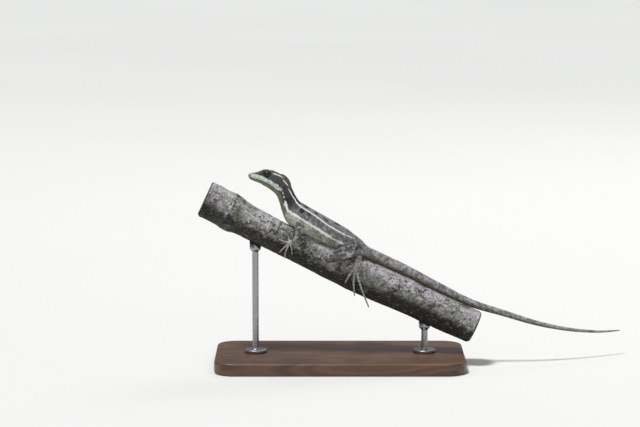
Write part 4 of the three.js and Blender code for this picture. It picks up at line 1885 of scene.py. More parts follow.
@dataclass
class LargeScales:
    """The scales that are made one by one: along the lips, on the lids and down the back."""

    flesh: Flesh
    surface: Surface
    markings: Markings
    coat: Coat
    lips: int = 15
    lip_rows: tuple[Triple, ...] = (
        (0.2, 1.35, 0.0), (1.45, 2.25, 1.0), (-0.2, -1.15, 0.0), (-1.25, -1.95, 1.0),
    )
    crest_gap: float = 0.98
    crest_tall: float = 0.85
    crest_line: tuple[Pair, ...] = ((8.5, 0.6), (9.5, 1.0), (15.0, 0.85), (19.3, 0.35))
    beads: tuple[tuple[float, int, float], ...] = ((1.03, 30, 0.36), (1.24, 34, 0.4))

    def lip(self, side: float, number: int, row: int) -> tuple[Shell, Array]:
        """Makes one scale along the mouth.

        Args:
            side: -1 on the left and 1 on the right.
            number: Which one, from the front.
            row: Its row in lip_rows, from next to the mouth outwards, first above it, then below.

        Returns:
            Its closed mesh, and how light each point is painted: painted light on the scale's crown, painted
            shade at its edge and underside.
        """
        stations, angles = np.array(MOUTH).T
        low, high, shift = self.lip_rows[row]
        first = stations[0] + 0.25
        long = (stations[-1] - first) / (self.lips + 0.5)
        start = first + long * (number + shift * 0.5)
        at = np.linspace(start + 0.06 * long, start + 0.94 * long, PAD[0])[:, None]
        rise = np.linspace(low, high, PAD[1])[None]
        body = self.flesh.body
        line = np.interp(at, stations, angles)
        step = np.linalg.norm(body.places(at, line + 1) - body.places(at, line), axis=-1)
        grid = body.places(at + 0 * rise, (line - rise / step) * side)
        places, facing, _ = self.surface.snapped(grid.reshape(-1, 3), 3.0)
        u, v = np.meshgrid(*(np.linspace(-1, 1, count) for count in PAD), indexing="ij")
        pillow = ((1 - u**6) * (1 - v**6)).reshape(-1, 1)
        top = places + facing * (0.27 * pillow - 0.07)
        # Painted light on the crown of the pad and painted shade at its edge and underside.
        shade = np.concatenate([0.45 + 0.6 * pillow, np.full_like(pillow, 0.4)])
        return pad(top, places - facing * 0.3), shade

    def lids(self, side: float) -> Roots:
        """Places the beads along the lids' edges.

        Args:
            side: -1 on the left and 1 on the right.

        Returns:
            Their roots.
        """
        gaze, fore, upward = EYE.axes(side)
        rings = []
        for ring, (reach, count, size) in enumerate(self.beads):
            way = (np.arange(count) + 0.5 * ring) / count * 2 * math.pi
            flat = np.cos(way)[:, None] * fore * EYE.opening[0] * reach
            flat = flat + np.sin(way)[:, None] * upward * EYE.opening[1] * reach
            deep = np.sqrt(np.maximum(EYE.lid**2 - (flat**2).sum(1), 0.01))[:, None]
            points = EYE.centre(side) + flat + gaze * (deep - 0.08)
            rings.append(Roots(points, np.full(count, size), np.zeros(count, int)))
        return Roots.joined(rings)

    def crest(self) -> list[Shell]:
        """Makes the row of small upright scales down the back.

        Returns:
            The scales.
        """
        body = self.flesh.body
        ats, heights = np.array(self.crest_line).T
        run, end = (float(np.interp(at, body.fine, body.run)) for at in (ats[0], ats[-1]))
        long = 0.5 * self.crest_gap
        profile = (
            (-long, -0.25, 0.2), (-0.2 * long, 0.62, 0.13), (1.15 * long, 1.0, 0.03), (long, -0.25, 0.2),
        )
        faces = np.array([(0, 2, 4, 6), (1, 7, 5, 3), (0, 1, 3, 2), (2, 3, 5, 4), (4, 5, 7, 6), (6, 7, 1, 0)])
        shells = []
        while run < end:
            at = float(body.at_run(run))
            place, _, _ = self.surface.snapped(body.places(at, 0.0)[None], 3.0)
            _, ahead, side, up, _ = (value[0] for value in body.frames(np.array([at])))
            tall = self.crest_tall * float(np.interp(at, ats, heights))
            tall *= 1 + 0.14 * math.sin(2.1 * len(shells)) * math.cos(0.7 * len(shells))
            rows = []
            for back, rise, thick in profile:
                middle = place[0] + ahead * back + up * (rise * tall if rise > 0 else rise)
                rows += [middle + side * thick, middle - side * thick]
            shells.append(Shell(np.array(rows), [faces]).outward())
            run += self.crest_gap
        return shells

    def dressed(self, shell: Shell, light: float = 1.0) -> tuple[Array, Array]:
        """Gives the colour, lightened, and the place on the unwrap of each point of large scales."""
        found = self.flesh.locate(shell.points)
        return np.clip(self.markings.colours(found) * light, 0, 1), self.coat.patches(found)


PAD = (7, 6)  # rows and columns of a lip scale's points


def pad(top: Array, under: Array) -> Shell:
    """Closes two grids of points into a solid.

    Args:
        top: The points of the outer face, row by row.
        under: The points of the inner face.

    Returns:
        The closed mesh.
    """
    grid = np.arange(len(top)).reshape(PAD)
    corners = (grid[:-1, :-1], grid[:-1, 1:], grid[1:, 1:], grid[1:, :-1])
    quads = np.stack([corner.ravel() for corner in corners], 1)
    rim = np.concatenate([grid[0], grid[1:, -1], grid[-1, -2::-1], grid[-2:0:-1, 0]])
    after = np.roll(rim, -1)
    walls = np.stack([rim, rim + len(top), after + len(top), after], 1)[:, ::-1]
    faces = np.concatenate([quads, quads[:, ::-1] + len(top), walls])
    return Shell(np.concatenate([top, under]), [faces]).outward()


@dataclass(frozen=True)
class Claw:
    """A claw's sizes."""

    long: float = 1.9
    root: float = 0.44
    tip: float = 0.07
    arch: float = 0.4
    narrow: float = 0.7

    def shell(self, tube: Tube) -> Shell:
        """Makes the claw at the end of a digit.

        Args:
            tube: The digit.

        Returns:
            The closed mesh.
        """
        end = tube.stations[-1, :3]
        ahead = unit(end - tube.stations[-2, :3])
        _, out = BRANCH.depth(end[None])
        up = unit(out[0] - (out[0] @ ahead) * ahead)
        side = np.cross(up, ahead)
        t = np.linspace(-0.25, 1, 9)[:, None]
        middle = end + ahead * t * self.long + up * (self.arch * (0.3 * t - 0.9 * t**2) * self.long)
        thick = self.tip + (self.root - self.tip) * np.clip(1 - t, 0, 1) ** 0.8
        turn = np.linspace(0, 2 * math.pi, 9)[:-1]
        rings = middle[:, None] + thick[:, None] * (
            side * self.narrow * np.sin(turn)[None, :, None] + up * np.cos(turn)[None, :, None]
        )
        return sleeve(rings)


@dataclass
class Lizard:
    """The animal: skin, scales, eyes and claws, with the nodes that the skin replaces."""

    flesh: Flesh = field(default_factory=Flesh)
    flesh_nodes: tuple[str, ...] = ("head", "neck", "torso", "tail_1", "tail_2", "tail_3", "tail_4", "tail_5")
    leg_nodes: tuple[str, ...] = ("upper_arm", "forearm", "hand", "thigh", "shin", "foot")
    # How much darker the skin between the scales is painted: painted shade.
    skin_shade: float = 0.72

    def __post_init__(self) -> None:
        """Works out the markings."""
        self.markings = Markings(self.flesh)

    def build_skin(self, finish: "SkinFinish") -> None:
        """Draws the skin and adds it.

        Args:
            finish: Its finish.
        """
        shell = Skin(self.flesh).made()
        found = self.flesh.locate(shell.points)
        # Painted shade: the skin that shows between the scales is darker than the markings.
        tones = self.markings.colours(found) * self.skin_shade
        made = add_piece("skin", shell, finish.made("skin"), tones)
        legs = [f"{node}_{side}" for node in self.leg_nodes for side in SIDES]
        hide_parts(*self.flesh_nodes, *legs)
        self.surface = Surface(shell)

    def build_scales(self, finish: "SkinFinish") -> None:
        """Grows all scales and adds them.

        Args:
            finish: Their finish.
        """
        material = finish.made("scales")
        coat = Coat(self.flesh, self.surface, self.markings)
        large = LargeScales(self.flesh, self.surface, self.markings, coat)
        roots = coat.roots()
        beads = [large.lids(side) for side in SIDES.values()]
        for name, shell, tones, patches in coat.grown(Roots.joined([roots, *beads])):
            add_piece(name, shell, material, tones, patches=patches, smooth=False)
        lips = [large.lip(*key) for key in itertools.product(SIDES.values(), range(large.lips), range(4))]
        shell = Shell.joined(lip for lip, _ in lips)
        middles = np.array([lip.points.mean(0) for lip, _ in lips])
        own = self.markings.colours(self.flesh.locate(middles), striped=False)
        # Each lip scale's colour times its painted light and shade.
        tones = np.concatenate([colour * shade for colour, (_, shade) in zip(own, lips)])
        _, patches = large.dressed(shell)
        add_piece("scales_lips", shell, material, np.clip(tones, 0, 1), patches=patches)
        shell = Shell.joined(large.crest())
        tones, patches = large.dressed(shell, 1.15)
        add_piece("scales_crest", shell, material, tones, patches=patches, smooth=False)

    def build_claws(self, finish: "HornFinish") -> None:
        """Adds the claws.

        Args:
            finish: Their finish.
        """
        digits = [tube for tube in self.flesh.tubes if tube.region in (Region.FINGER, Region.TOE)]
        add_piece("claws", Shell.joined(Claw().shell(tube) for tube in digits), finish.made())

    def build_eyes(self, finish: "EyeFinish") -> None:
        """Adds the eyeballs.

        Args:
            finish: Their finish.
        """
        material = finish.made()
        rise = np.linspace(0.0, math.pi, 49)[1:-1, None]
        for word, side in SIDES.items():
            gaze, fore, upward = EYE.axes(side)
            way = np.linspace(0, 2 * math.pi, 65)[None, :-1] * side
            reach = EYE.radius + EYE.cornea * np.exp(-((rise / 0.62) ** 4)) + 0 * way
            around = np.cos(way)[..., None] * fore + np.sin(way)[..., None] * upward
            turned = np.cos(rise)[..., None] * gaze + np.sin(rise)[..., None] * around
            rings = EYE.centre(side) + reach[..., None] * turned
            angle = np.append(rise + 0 * way, [0.0, math.pi])
            spin = np.append(way + 0 * rise, [0.0, 0.0])
            iris = np.stack([angle * np.cos(spin), angle * np.sin(spin), angle], 1)
            made = add_piece(f"eyeball_{word}", sleeve(rings), material, vectors={"iris_place": iris})
            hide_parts(f"eye_{word}")


# The perch


@dataclass(frozen=True)
class PerchBranch:
    """The length of branch, with its bark and its two cut ends.

    Under the animal its ridge is worn flat: seat is how far to either side, seat_from where that
    begins along the branch, and seat_lift how high the bark stands there.
    """

    shape: Branch
    relief: float = 0.3
    crack: float = 0.5
    chamfer: float = 0.8
    seat: float = 0.16
    seat_from: Pair = (-56.0, -50.0)
    seat_lift: float = 0.04
    scar: Triple = (77.0, -12.9, 5.0)
    scar_reach: Triple = (2.6, 1.5, 1.5)
    moss: Triple = (40.0, -13.5, 2.0)
    moss_reach: Triple = (10.0, 6.5, 6.5)
    seams: Pair = (-89.4, -48.8)
    seam_deep: float = 0.45
    knot_crack: float = 0.5

    def bark_height(self, points: Array) -> Array:
        """Works out how far the bark stands off the smooth wood.

        Args:
            points: Points of the smooth wood.

        Returns:
            Heights in millimetres.
        """
        long = points / (3.2, 1, 1)
        height = self.relief * (0.7 * cloud(long, 3.4, 4, 201) + 0.25 * cloud(points, 1.1, 2, 205))
        crack = np.abs(cloud(points / (7.0, 1, 1), 4.6, 2, 211))
        height -= self.crack * ramp(crack, 0.055, 0.0) * ramp(cloud(points, 16, 2, 212), -0.2, 0.3)
        height += 0.16 * ramp(cloud(points, 6.5, 3, 221), 0.15, 0.4)
        ring = np.abs((points[:, 0] - self.shape.knot_at + 2.0 * cloud(points, 9, 2, 231)) / 1.3)
        height -= self.knot_crack * np.exp(-(ring**2)) * ramp(cloud(points, 11, 1, 232), -0.5, 0.3)
        return height - self.seam_deep * self.seam(points)

    def seam(self, points: Array) -> Array:
        """Draws the thin cracks that run round the branch.

        Args:
            points: Points of the bark.

        Returns:
            1 in a crack, and 0 away from it.
        """
        share = np.zeros(len(points))
        for at in self.seams:
            away = points[:, 0] - at + 0.7 * cloud(points, 6, 2, 233)
            share = np.maximum(share, swell(away, 0.0, 0.42) * ramp(cloud(points, 7, 1, 234), -0.55, -0.1))
        return share

    def build(self, bark: "BarkFinish", wood: "EndGrainFinish") -> None:
        """Adds the bark and the two cut ends.

        Args:
            bark: The bark's finish.
            wood: The cut ends' finish.
        """
        shape = self.shape
        middle = (shape.upper_end + shape.lower_end) / 2
        half = shape.lower_end - middle
        x = np.linspace(shape.upper_end, shape.lower_end, shape.along)[:, None]
        turn = np.linspace(0, 2 * math.pi, shape.around, endpoint=False)[None]
        smooth = shape.over(x, turn, 0.0)
        lift = self.bark_height(smooth.reshape(-1, 3)).reshape(smooth.shape[:2])
        seat = ramp(np.abs(np.sin(turn / 2)), self.seat + 0.06, self.seat) * ramp(x, *self.seat_from)
        lift = lift + seat * np.minimum(self.seat_lift - lift, 0)
        lift = lift * ramp(np.abs(x - middle), half - 0.4, half - 1.6)
        lift = lift - self.chamfer * (1 - ramp(np.abs(x - middle), half, half - 1.4))
        rings = shape.over(x, turn, lift)
        shell = sleeve(rings)
        tones = self.tones(shell.points, np.append(lift, [0.0, 0.0]))
        made = add_piece("branch_bark", shell, bark.made(), tones)
        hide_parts("perch_branch")
        for word, rim, way in (("upper", rings[0], -1.0), ("lower", rings[-1], 1.0)):
            cap = self.cut(rim, way)
            place = (cap.points - rim.mean(0)) * MM
            add_piece(f"branch_end_{word}", cap, wood.made(word), vectors={"ring_place": place})

    def cut(self, rim: Array, way: float) -> Shell:
        """Makes a sawn end.

        Args:
            rim: The bark's last ring.
            way: Which way the end faces: -1 up the branch and 1 down it.

        Returns:
            A closed disc with a rough outer face.
        """
        middle = rim.mean(0)
        share = np.linspace(1.0, 0.02, 24)[:, None, None]
        disc = middle + (rim - middle) * share
        rough = cloud(disc.reshape(-1, 3), 0.8, 2, 240).reshape(disc.shape[:2])
        saw = 0.07 * np.sin(disc[..., 2] * 4.1 + disc[..., 1]) + 0.06 * rough
        disc[..., 0] += way * (0.12 + saw * ramp(share[..., 0], 1.0, 0.95))
        inner = disc[::-1].copy()
        inner[..., 0] = middle[0] - way * 0.6
        inner = middle + (inner - middle) * (1, 0.96, 0.96)
        loop = np.concatenate([inner, disc])
        return sleeve(loop if way > 0 else loop[:, ::-1])

    def tones(self, points: Array, height: Array) -> Array:
        """Colours the bark, with painted light on its top and painted shade down its sides, underneath and in
        its hollows.

        Args:
            points: Points of the bark.
            height: How far each stands off the smooth wood.

        Returns:
            Linear colours.
        """
        turn = np.degrees(np.abs(np.arctan2(points[:, 1], points[:, 2] - self.shape.bow(points[:, 0]))))
        drift = 16 * cloud(points, 22, 3, 250)
        knot = swell(points[:, 0], self.shape.knot_at, 9) * ramp(cloud(points, 8, 2, 253), -0.3, 0.3)
        grime = 0.35 + 0.65 * ramp(cloud(points, 11, 2, 257), -0.35, 0.45)
        moss = np.linalg.norm((points - self.moss) / self.moss_reach, axis=1)
        moss = moss + 0.35 * cloud(points, 5, 2, 260)
        crust = ramp(cloud(points, 1.7, 3, 256), 0.2, 0.5) * ramp(turn, 120, 80)
        scar = np.linalg.norm((points - self.scar) / self.scar_reach, axis=1)
        scar = scar + 0.3 * cloud(points, 2, 2, 259)
        # Lit top, shaded sides and a dark underside: painted light and shade as from a lamp overhead.
        colours = layered(
            BARK_TOP_LIT,
            (BARK_SIDE_SHADED, ramp(turn + drift, 45, 80)),
            (MOSS, 0.65 * ramp(cloud(points, 15, 3, 251), 0.05, 0.4) * ramp(turn, 150, 110)),
            (LILAC, 0.5 * ramp(cloud(points, 19, 3, 252), 0.15, 0.5) * ramp(turn, 130, 90)),
            (BARK_UNDER_SHADE, 0.94 * ramp(turn + 0.6 * drift, 82, 108)),
            (MOSS, 0.5 * knot),
            (SPECK, 0.85 * grime * ramp(cloud(points / (1.5, 1, 1), 1.7, 2, 255), 0.08, 0.34)),
            (MOSS, 0.75 * ramp(moss, 1.2, 0.6)),
            (LICHEN, 0.6 * crust * ramp(cloud(points, 13, 2, 258), -0.2, 0.4)),
            (SCAR, 0.85 * ramp(scar, 1.2, 0.8)),
            # Dark in the cracks and deep hollows: painted shade, partly the cracks' own darker bark.
            (BARK_CRACK_AND_SHADE, np.maximum(0.8 * ramp(height, -0.12, -0.42), 0.85 * self.seam(points))),
        )
        # Lighter where the bark stands out and darker where it sinks: painted light and shade.
        return np.clip(colours * (1 + 0.2 * cloud(points, 2.6, 3, 254) + 0.3 * height)[:, None], 0.002, 0.9)


# Bark colours: the lit top, the shaded sides and the underside in painted shade; the crack colour is partly
# painted shade.
BARK_TOP_LIT = tone(172, 167, 169)
BARK_SIDE_SHADED = tone(136, 131, 129)
BARK_UNDER_SHADE = tone(40, 36, 33)
BARK_CRACK_AND_SHADE = tone(34, 30, 28)
MOSS = tone(106, 112, 100)
LILAC = tone(166, 160, 169)
SPECK = tone(52, 48, 45)
LICHEN = tone(186, 188, 180)
SCAR = tone(170, 152, 136)


@dataclass(frozen=True)
class Stand:
    """The display stand: a flat board and two rods, in millimetres in the model's frame."""

    length: float = 200.0
    depth: float = 100.0
    thick: float = 10.0
    corner: float = 16.0
    bevel: float = 1.5
    gap: float = 0.3
    rod: float = 2.6
    flange: float = 9.0
    flange_thick: float = 2.4
    edge: float = 0.7
    fillet: float = 0.8
    saddle: float = 4.6
    saddle_high: float = 5.0
    rods: tuple[tuple[str, float], ...] = (("upper", -66.0), ("lower", 84.0))

    def outline(self, inset: float) -> Array:
        """Gives the board's outline.

        Args:
            inset: How far inside the board's edge.

        Returns:
            Points round it, in the flat.
        """
        radius = max(self.corner - inset, 0.5)
        reach = np.array([self.length / 2 - inset - radius, self.depth / 2 - inset - radius])
        points = []
        for quarter, signs in enumerate(((1, 1), (-1, 1), (-1, -1), (1, -1))):
            turn = np.radians(np.linspace(0, 90, 15) + 90 * quarter)
            points.append(reach * signs + radius * np.stack([np.cos(turn), np.sin(turn)], 1))
        return np.concatenate(points)

    def board(self) -> Shell:
        """Makes the board, with rounded edges above and below.

        Returns:
            Its closed mesh.
        """
        steps = np.radians(np.linspace(90, 0, 7))
        low = [(12.0, 0.0), (self.bevel + 0.6, 0.0)]
        low += [(self.bevel * (1 - math.cos(a)), self.bevel * (1 - math.sin(a))) for a in steps]
        rings = []
        for inset, rise in low + [(inset, self.thick - rise) for inset, rise in reversed(low)]:
            flat = self.outline(inset)
            rings.append(np.column_stack([flat, np.full(len(flat), rise)]))
        return sleeve(np.array(rings)[:, ::-1])

    def shaft(self, along: float) -> Shell:
        """Makes one rod with its flange, and a saddle that fits the underside of the branch.

        Args:
            along: Where it meets the branch's axis.

        Returns:
            Its closed mesh.
        """
        x, _, top = PERCH.world(np.array([[along, 0.0, 0.0]]))[0] / MM
        foot = self.thick + self.gap
        neck = foot + self.flange_thick
        under = top - BRANCH.radius - 2
        waist = under - self.saddle_high
        turn = np.linspace(0, 2 * math.pi, 73)[:-1]
        around = np.stack([np.cos(turn), np.sin(turn), 0 * turn], 1)
        profile = [(self.flange * 0.5, foot), (self.flange - 0.25, foot), (self.flange, foot + 0.25)]
        for angle in np.radians(np.linspace(0, 90, 6)):
            out, rise = self.edge * (1 - math.cos(angle)), self.edge * (1 - math.sin(angle))
            profile.append((self.flange - out, neck - rise))
        profile.append((self.rod + 0.9, neck))
        for angle in np.radians(np.linspace(15, 90, 5)):
            out, rise = self.fillet * (1 - math.sin(angle)), self.fillet * (1 - math.cos(angle))
            profile.append((self.rod + out, neck + rise))
        start = foot + 4.2
        profile += [(self.rod, start + share * (waist - start)) for share in np.linspace(0, 1, 14)]
        for share in np.linspace(0.1, 1, 9):
            widened = float(self.rod + (self.saddle - self.rod) * ramp(share, 0, 1))
            profile.append((widened, waist + 3 * share))
        profile.append((self.saddle, under - 1.4))
        rings = [np.array([x, 0, z]) + around * r for r, z in profile]
        for reach in (self.saddle, self.saddle - 0.25, self.saddle * 0.6, self.saddle * 0.2):
            flat = np.array([x, 0, 0]) + around * reach
            rings.append(np.column_stack([flat[:, :2], self.contact(flat, top)]))
        return sleeve(np.array(rings)[:, ::-1])

    @staticmethod
    def contact(flat: Array, top: float) -> Array:
        """Finds where the underside of the branch is over points of the board.

        Args:
            flat: The points.
            top: The height of the branch's axis there.

        Returns:
            Heights just under the bark.
        """
        heights = np.linspace(top - 24, top, 481)
        c, s = math.cos(math.radians(PERCH.slope)), math.sin(math.radians(PERCH.slope))
        x, y = (flat[:, k, None] - (PERCH.x, 0.0)[k] + 0 * heights for k in (0, 1))
        z = heights[None] - PERCH.z + 0 * x
        local = np.stack([x * c - z * s, y, x * s + z * c], -1)
        away, _ = BRANCH.depth(local.reshape(-1, 3))
        inside = away.reshape(x.shape) < 0.25
        return heights[inside.argmax(1)]

    def build(self, board: "BoardFinish", steel: "SteelFinish") -> None:
        """Adds the board and the rods.

        Args:
            board: The board's finish.
            steel: The rods' finish.
        """
        made = add_piece("stand_board", self.board(), board.made(), in_perch=False)
        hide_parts("stand_base")
        material = steel.made()
        for word, along in self.rods:
            made = add_piece(f"stand_shaft_{word}", self.shaft(along), material, in_perch=False)
            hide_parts(f"stand_rod_{word}")


# Finishes


class Wire:
    """An output socket of a material, which takes part in sums as a number does."""

    def __init__(self, paint: "Paint", socket: bpy.types.NodeSocket) -> None:
        """Keeps the socket, and the material that it is in."""
        self.paint = paint
        self.socket = socket

    def combined(self, operation: str, first: Any, second: Any) -> "Wire":
        """Returns the outcome of one Math node."""
        return self.paint.node("ShaderNodeMath", {"operation": operation}, {0: first, 1: second})

    def wave(self) -> "Wire":
        """Returns the sine."""
        return self.paint.node("ShaderNodeMath", {"operation": "SINE"}, {0: self})

    def __add__(self, other: Any) -> "Wire":
        """Returns the sum."""
        return self.combined("ADD", self, other)

    __radd__ = __add__

    def __sub__(self, other: Any) -> "Wire":
        """Returns the difference."""
        return self.combined("SUBTRACT", self, other)

    def __rsub__(self, other: Any) -> "Wire":
        """Returns the difference from a number."""
        return self.combined("SUBTRACT", other, self)

    def __mul__(self, other: Any) -> "Wire":
        """Returns the product."""
        return self.combined("MULTIPLY", self, other)

    __rmul__ = __mul__

    def between(self, low: float, high: float) -> "Wire":
        """Rises smoothly from 0 at low to 1 at high, or falls where high is the lower one.

        Args:
            low: Where it is 0.
            high: Where it is 1.

        Returns:
            The ramp.
        """
        if low > high:
            return 1.0 - self.between(high, low)
        sockets = {0: self, 1: low, 2: high, 3: 0.0, 4: 1.0}
        return self.paint.node("ShaderNodeMapRange", {"interpolation_type": "SMOOTHSTEP"}, sockets)


class Paint:
    """One material that is being put together."""

    def __init__(self, name: str) -> None:
        """Starts a material.

        Args:
            name: Its name.
        """
        self.material = bpy.data.materials.new(name)
        self.material.use_nodes = True
        self.tree = self.material.node_tree
        self.shader = self.tree.nodes["Principled BSDF"]

    def join(self, target: bpy.types.NodeSocket, value: Any) -> None:
        """Links a wire to a socket, or sets a number or colour on it.

        Args:
            target: The socket.
            value: A wire, a number, or several numbers.
        """
        if isinstance(value, Wire):
            self.tree.links.new(value.socket, target)
        elif isinstance(value, np.ndarray):
            target.default_value = (*value.tolist(), 1.0) if len(value) == 3 else value.tolist()
        else:
            target.default_value = value

    def node(
        self, kind: str, settings: dict[str, Any], sockets: dict[Any, Any], out: int | str = 0
    ) -> Wire:
        """Adds a node.

        Args:
            kind: Its type.
            settings: What is set on it first, such as a Math node's operation.
            sockets: The values and wires of its sockets.
            out: Which output is wanted.

        Returns:
            That output.
        """
        made = self.tree.nodes.new(kind)
        for key, value in settings.items():
            setattr(made, key, value)
        for key, value in sockets.items():
            self.join(made.inputs[key], value)
        return Wire(self, made.outputs[out])

    def finish(self, **values: Any) -> bpy.types.Material:
        """Sets the shader's sockets.

        Args:
            **values: Values and wires, by the socket's name with _ for each space.

        Returns:
            The finished material.
        """
        for key, value in values.items():
            self.join(self.shader.inputs[key.replace("_", " ")], value)
        return self.material

    def place(self) -> Wire:
        """Returns the place on the object, in metres."""
        return self.node("ShaderNodeTexCoord", {}, {}, "Object")

    def attribute(self, name: str, out: str = "Color") -> Wire:
        """Returns a value that the mesh carries."""
        return self.node("ShaderNodeAttribute", {"attribute_name": name}, {}, out)

    def stretched(self, place: Wire, scale: Triple, turn: float = 0.0) -> Wire:
        """Returns places that are first turned about y, in degrees, and then scaled."""
        tip = (0.0, math.radians(turn), 0.0)
        turned = self.node("ShaderNodeMapping", {}, {"Vector": place, "Rotation": tip})
        return self.node("ShaderNodeMapping", {}, {"Vector": turned, "Scale": scale})

    def noise(self, place: Wire, size: float, detail: float = 2.0, rough: float = 0.5) -> Wire:
        """Returns noise, about 0 to 1, whose largest swells are size millimetres wide."""
        values = {"Vector": place, "Scale": 1 / (size * MM), "Detail": detail, "Roughness": rough}
        return self.node("ShaderNodeTexNoise", {}, values)

    def cells(self, place: Wire, size: float) -> Wire:
        """Returns the distance from the middle of cells that are size millimetres wide."""
        return self.node("ShaderNodeTexVoronoi", {}, {"Vector": place, "Scale": 1 / (size * MM)})

    def mix(self, first: Any, second: Any, share: Any) -> Wire:
        """Returns a mix of two colours, with a share of the second."""
        settings = {"data_type": "RGBA", "clamp_result": True}
        return self.node("ShaderNodeMix", settings, {0: share, 6: first, 7: second}, 2)

    def bump(self, height: Wire, size: float, strength: float) -> Wire:
        """Returns a normal with relief, where a height of 1 is size millimetres high."""
        sockets = {"Height": height, "Distance": size * MM, "Strength": strength}
        return self.node("ShaderNodeBump", {}, sockets)


@dataclass(frozen=True)
class SkinFinish:
    """Dry, finely grained skin or scales that carry the markings."""

    rough: float = 0.5
    sheen: float = 0.38

    def made(self, name: str) -> bpy.types.Material:
        """Makes the material.

        Args:
            name: Its name, and the part that it is for.

        Returns:
            The material.
        """
        paint = Paint(f"finish_{name}")
        place = paint.place()
        fine = paint.noise(place, 0.5, 3.0, 0.6)
        broad = paint.noise(place, 3.0)
        colour = paint.mix(paint.attribute("markings"), tone(30, 28, 27), 0.34 * fine.between(0.52, 0.72))
        colour = paint.mix(colour, tone(206, 204, 196), 0.14 * fine.between(0.46, 0.3))
        grain = paint.cells(place, 0.24)
        return paint.finish(
            Base_Color=colour,
            Roughness=self.rough + 0.16 * broad + 0.08 * fine,
            Normal=paint.bump(0.6 * grain + 0.4 * fine, 0.05, 0.6),
            Specular_IOR_Level=self.sheen,
        )


@dataclass(frozen=True)
class HornFinish:
    """Dark, smooth horn."""

    rough: float = 0.3

    def made(self) -> bpy.types.Material:
        """Makes the material.

        Returns:
            The material.
        """
        paint = Paint("finish_claw_horn")
        streaks = paint.noise(paint.place(), 0.4)
        return paint.finish(
            Base_Color=paint.mix(tone(52, 46, 41), tone(112, 102, 90), streaks.between(0.35, 0.75)),
            Roughness=self.rough + 0.15 * streaks,
            Normal=paint.bump(streaks, 0.03, 0.4),
        )


@dataclass(frozen=True)
class EyeFinish:
    """A wet, dark eye with a round pupil and a thin golden ring."""

    pupil: float = 0.4
    ring: float = 0.45
    iris: float = 0.6

    def made(self) -> bpy.types.Material:
        """Makes the material.

        Returns:
            The material.
        """
        paint = Paint("finish_eye")
        place = paint.attribute("iris_place", "Vector")
        parts = paint.node("ShaderNodeSeparateXYZ", {}, {"Vector": place}, "Z")
        flecks = paint.node("ShaderNodeTexNoise", {}, {"Vector": place, "Scale": 14.0, "Detail": 3.0})
        iris = paint.mix(tone(26, 19, 15), tone(66, 47, 31), flecks.between(0.42, 0.66))
        iris = paint.mix(iris, tone(12, 10, 9), parts.between(self.ring, self.iris))
        gold = parts.between(self.pupil, self.pupil + 0.03) * parts.between(self.ring + 0.04, self.ring)
        colour = paint.mix(iris, tone(112, 84, 50), 0.45 * gold)
        colour = paint.mix(tone(5, 4, 4), colour, parts.between(self.pupil - 0.02, self.pupil + 0.02))
        return paint.finish(
            Base_Color=colour,
            Roughness=0.05 + 0.04 * flecks,
            Normal=paint.bump(flecks, 0.01, 0.1),
            Specular_IOR_Level=0.32,
            Coat_Weight=0.25,
            Coat_Roughness=0.02,
        )


@dataclass(frozen=True)
class BarkFinish:
    """Weathered bark with grains, specks and thin crusts over the colours that the mesh carries; the grain's
    grooves get painted shade and its ridges painted light.
    """

    def made(self) -> bpy.types.Material:
        """Makes the material.

        Returns:
            The material.
        """
        paint = Paint("finish_bark")
        place = paint.place()
        along = paint.stretched(place, (0.28, 1.0, 1.0), PERCH.slope)
        grain = paint.noise(along, 1.6, 5.0, 0.62)
        specks = paint.noise(place, 1.0, 3.0, 0.65)
        crust = paint.noise(place, 5.0, 5.0, 0.68)
        # Darker in the grain's grooves and paler on its ridges, as the bump shapes them: painted shade and
        # light, partly the bark's own streaks.
        colour = paint.mix(paint.attribute("markings"), BARK_CRACK_AND_SHADE, 0.62 * grain.between(0.5, 0.68))
        colour = paint.mix(colour, tone(176, 172, 166), 0.4 * grain.between(0.44, 0.3))
        colour = paint.mix(colour, tone(34, 31, 28), 0.8 * specks.between(0.54, 0.62))
        crusts = 0.42 * crust.between(0.58, 0.68) * specks.between(0.62, 0.4)
        colour = paint.mix(colour, tone(168, 172, 158), crusts)
        height = 0.5 * grain + 0.3 * specks + 0.35 * crust.between(0.54, 0.64)
        return paint.finish(
            Base_Color=colour,
            Roughness=0.78 + 0.16 * specks,
            Normal=paint.bump(1.0 - height, 0.35, 0.8),
            Specular_IOR_Level=0.25,
        )


@dataclass(frozen=True)
class EndGrainFinish:
    """A sawn end: rings, rays and the dark edge of the bark."""

    def made(self, word: str) -> bpy.types.Material:
        """Makes the material.

        Args:
            word: Which end.

        Returns:
            The material.
        """
        paint = Paint(f"finish_end_grain_{word}")
        place = paint.attribute("ring_place", "Vector")
        drift = paint.noise(place, 9.0, 3.0)
        wave = paint.noise(place, 3.0)
        flat = paint.stretched(place, (0.0, 1.0, 1.0))
        reach = paint.node("ShaderNodeVectorMath", {"operation": "LENGTH"}, {0: flat}, "Value")
        rings = ((reach + 0.0045 * drift + 0.0004 * wave) * 5200.0).wave()
        fine = paint.noise(place, 0.5, 3.0)
        late = rings.between(-0.6, 1.0) * (0.3 + 0.6 * drift)
        colour = paint.mix(tone(182, 158, 126), tone(146, 118, 88), late)
        colour = paint.mix(colour, tone(112, 92, 74), 0.5 * fine.between(0.46, 0.72))
        colour = paint.mix(colour, tone(96, 84, 74), 0.5 * drift.between(0.5, 0.7))
        colour = paint.mix(colour, tone(72, 56, 44), reach.between(0.0112, 0.0124))
        return paint.finish(
            Base_Color=colour,
            Roughness=0.72 + 0.15 * fine,
            Normal=paint.bump(rings * 0.4 + fine, 0.08, 0.5),
            Specular_IOR_Level=0.3,
        )


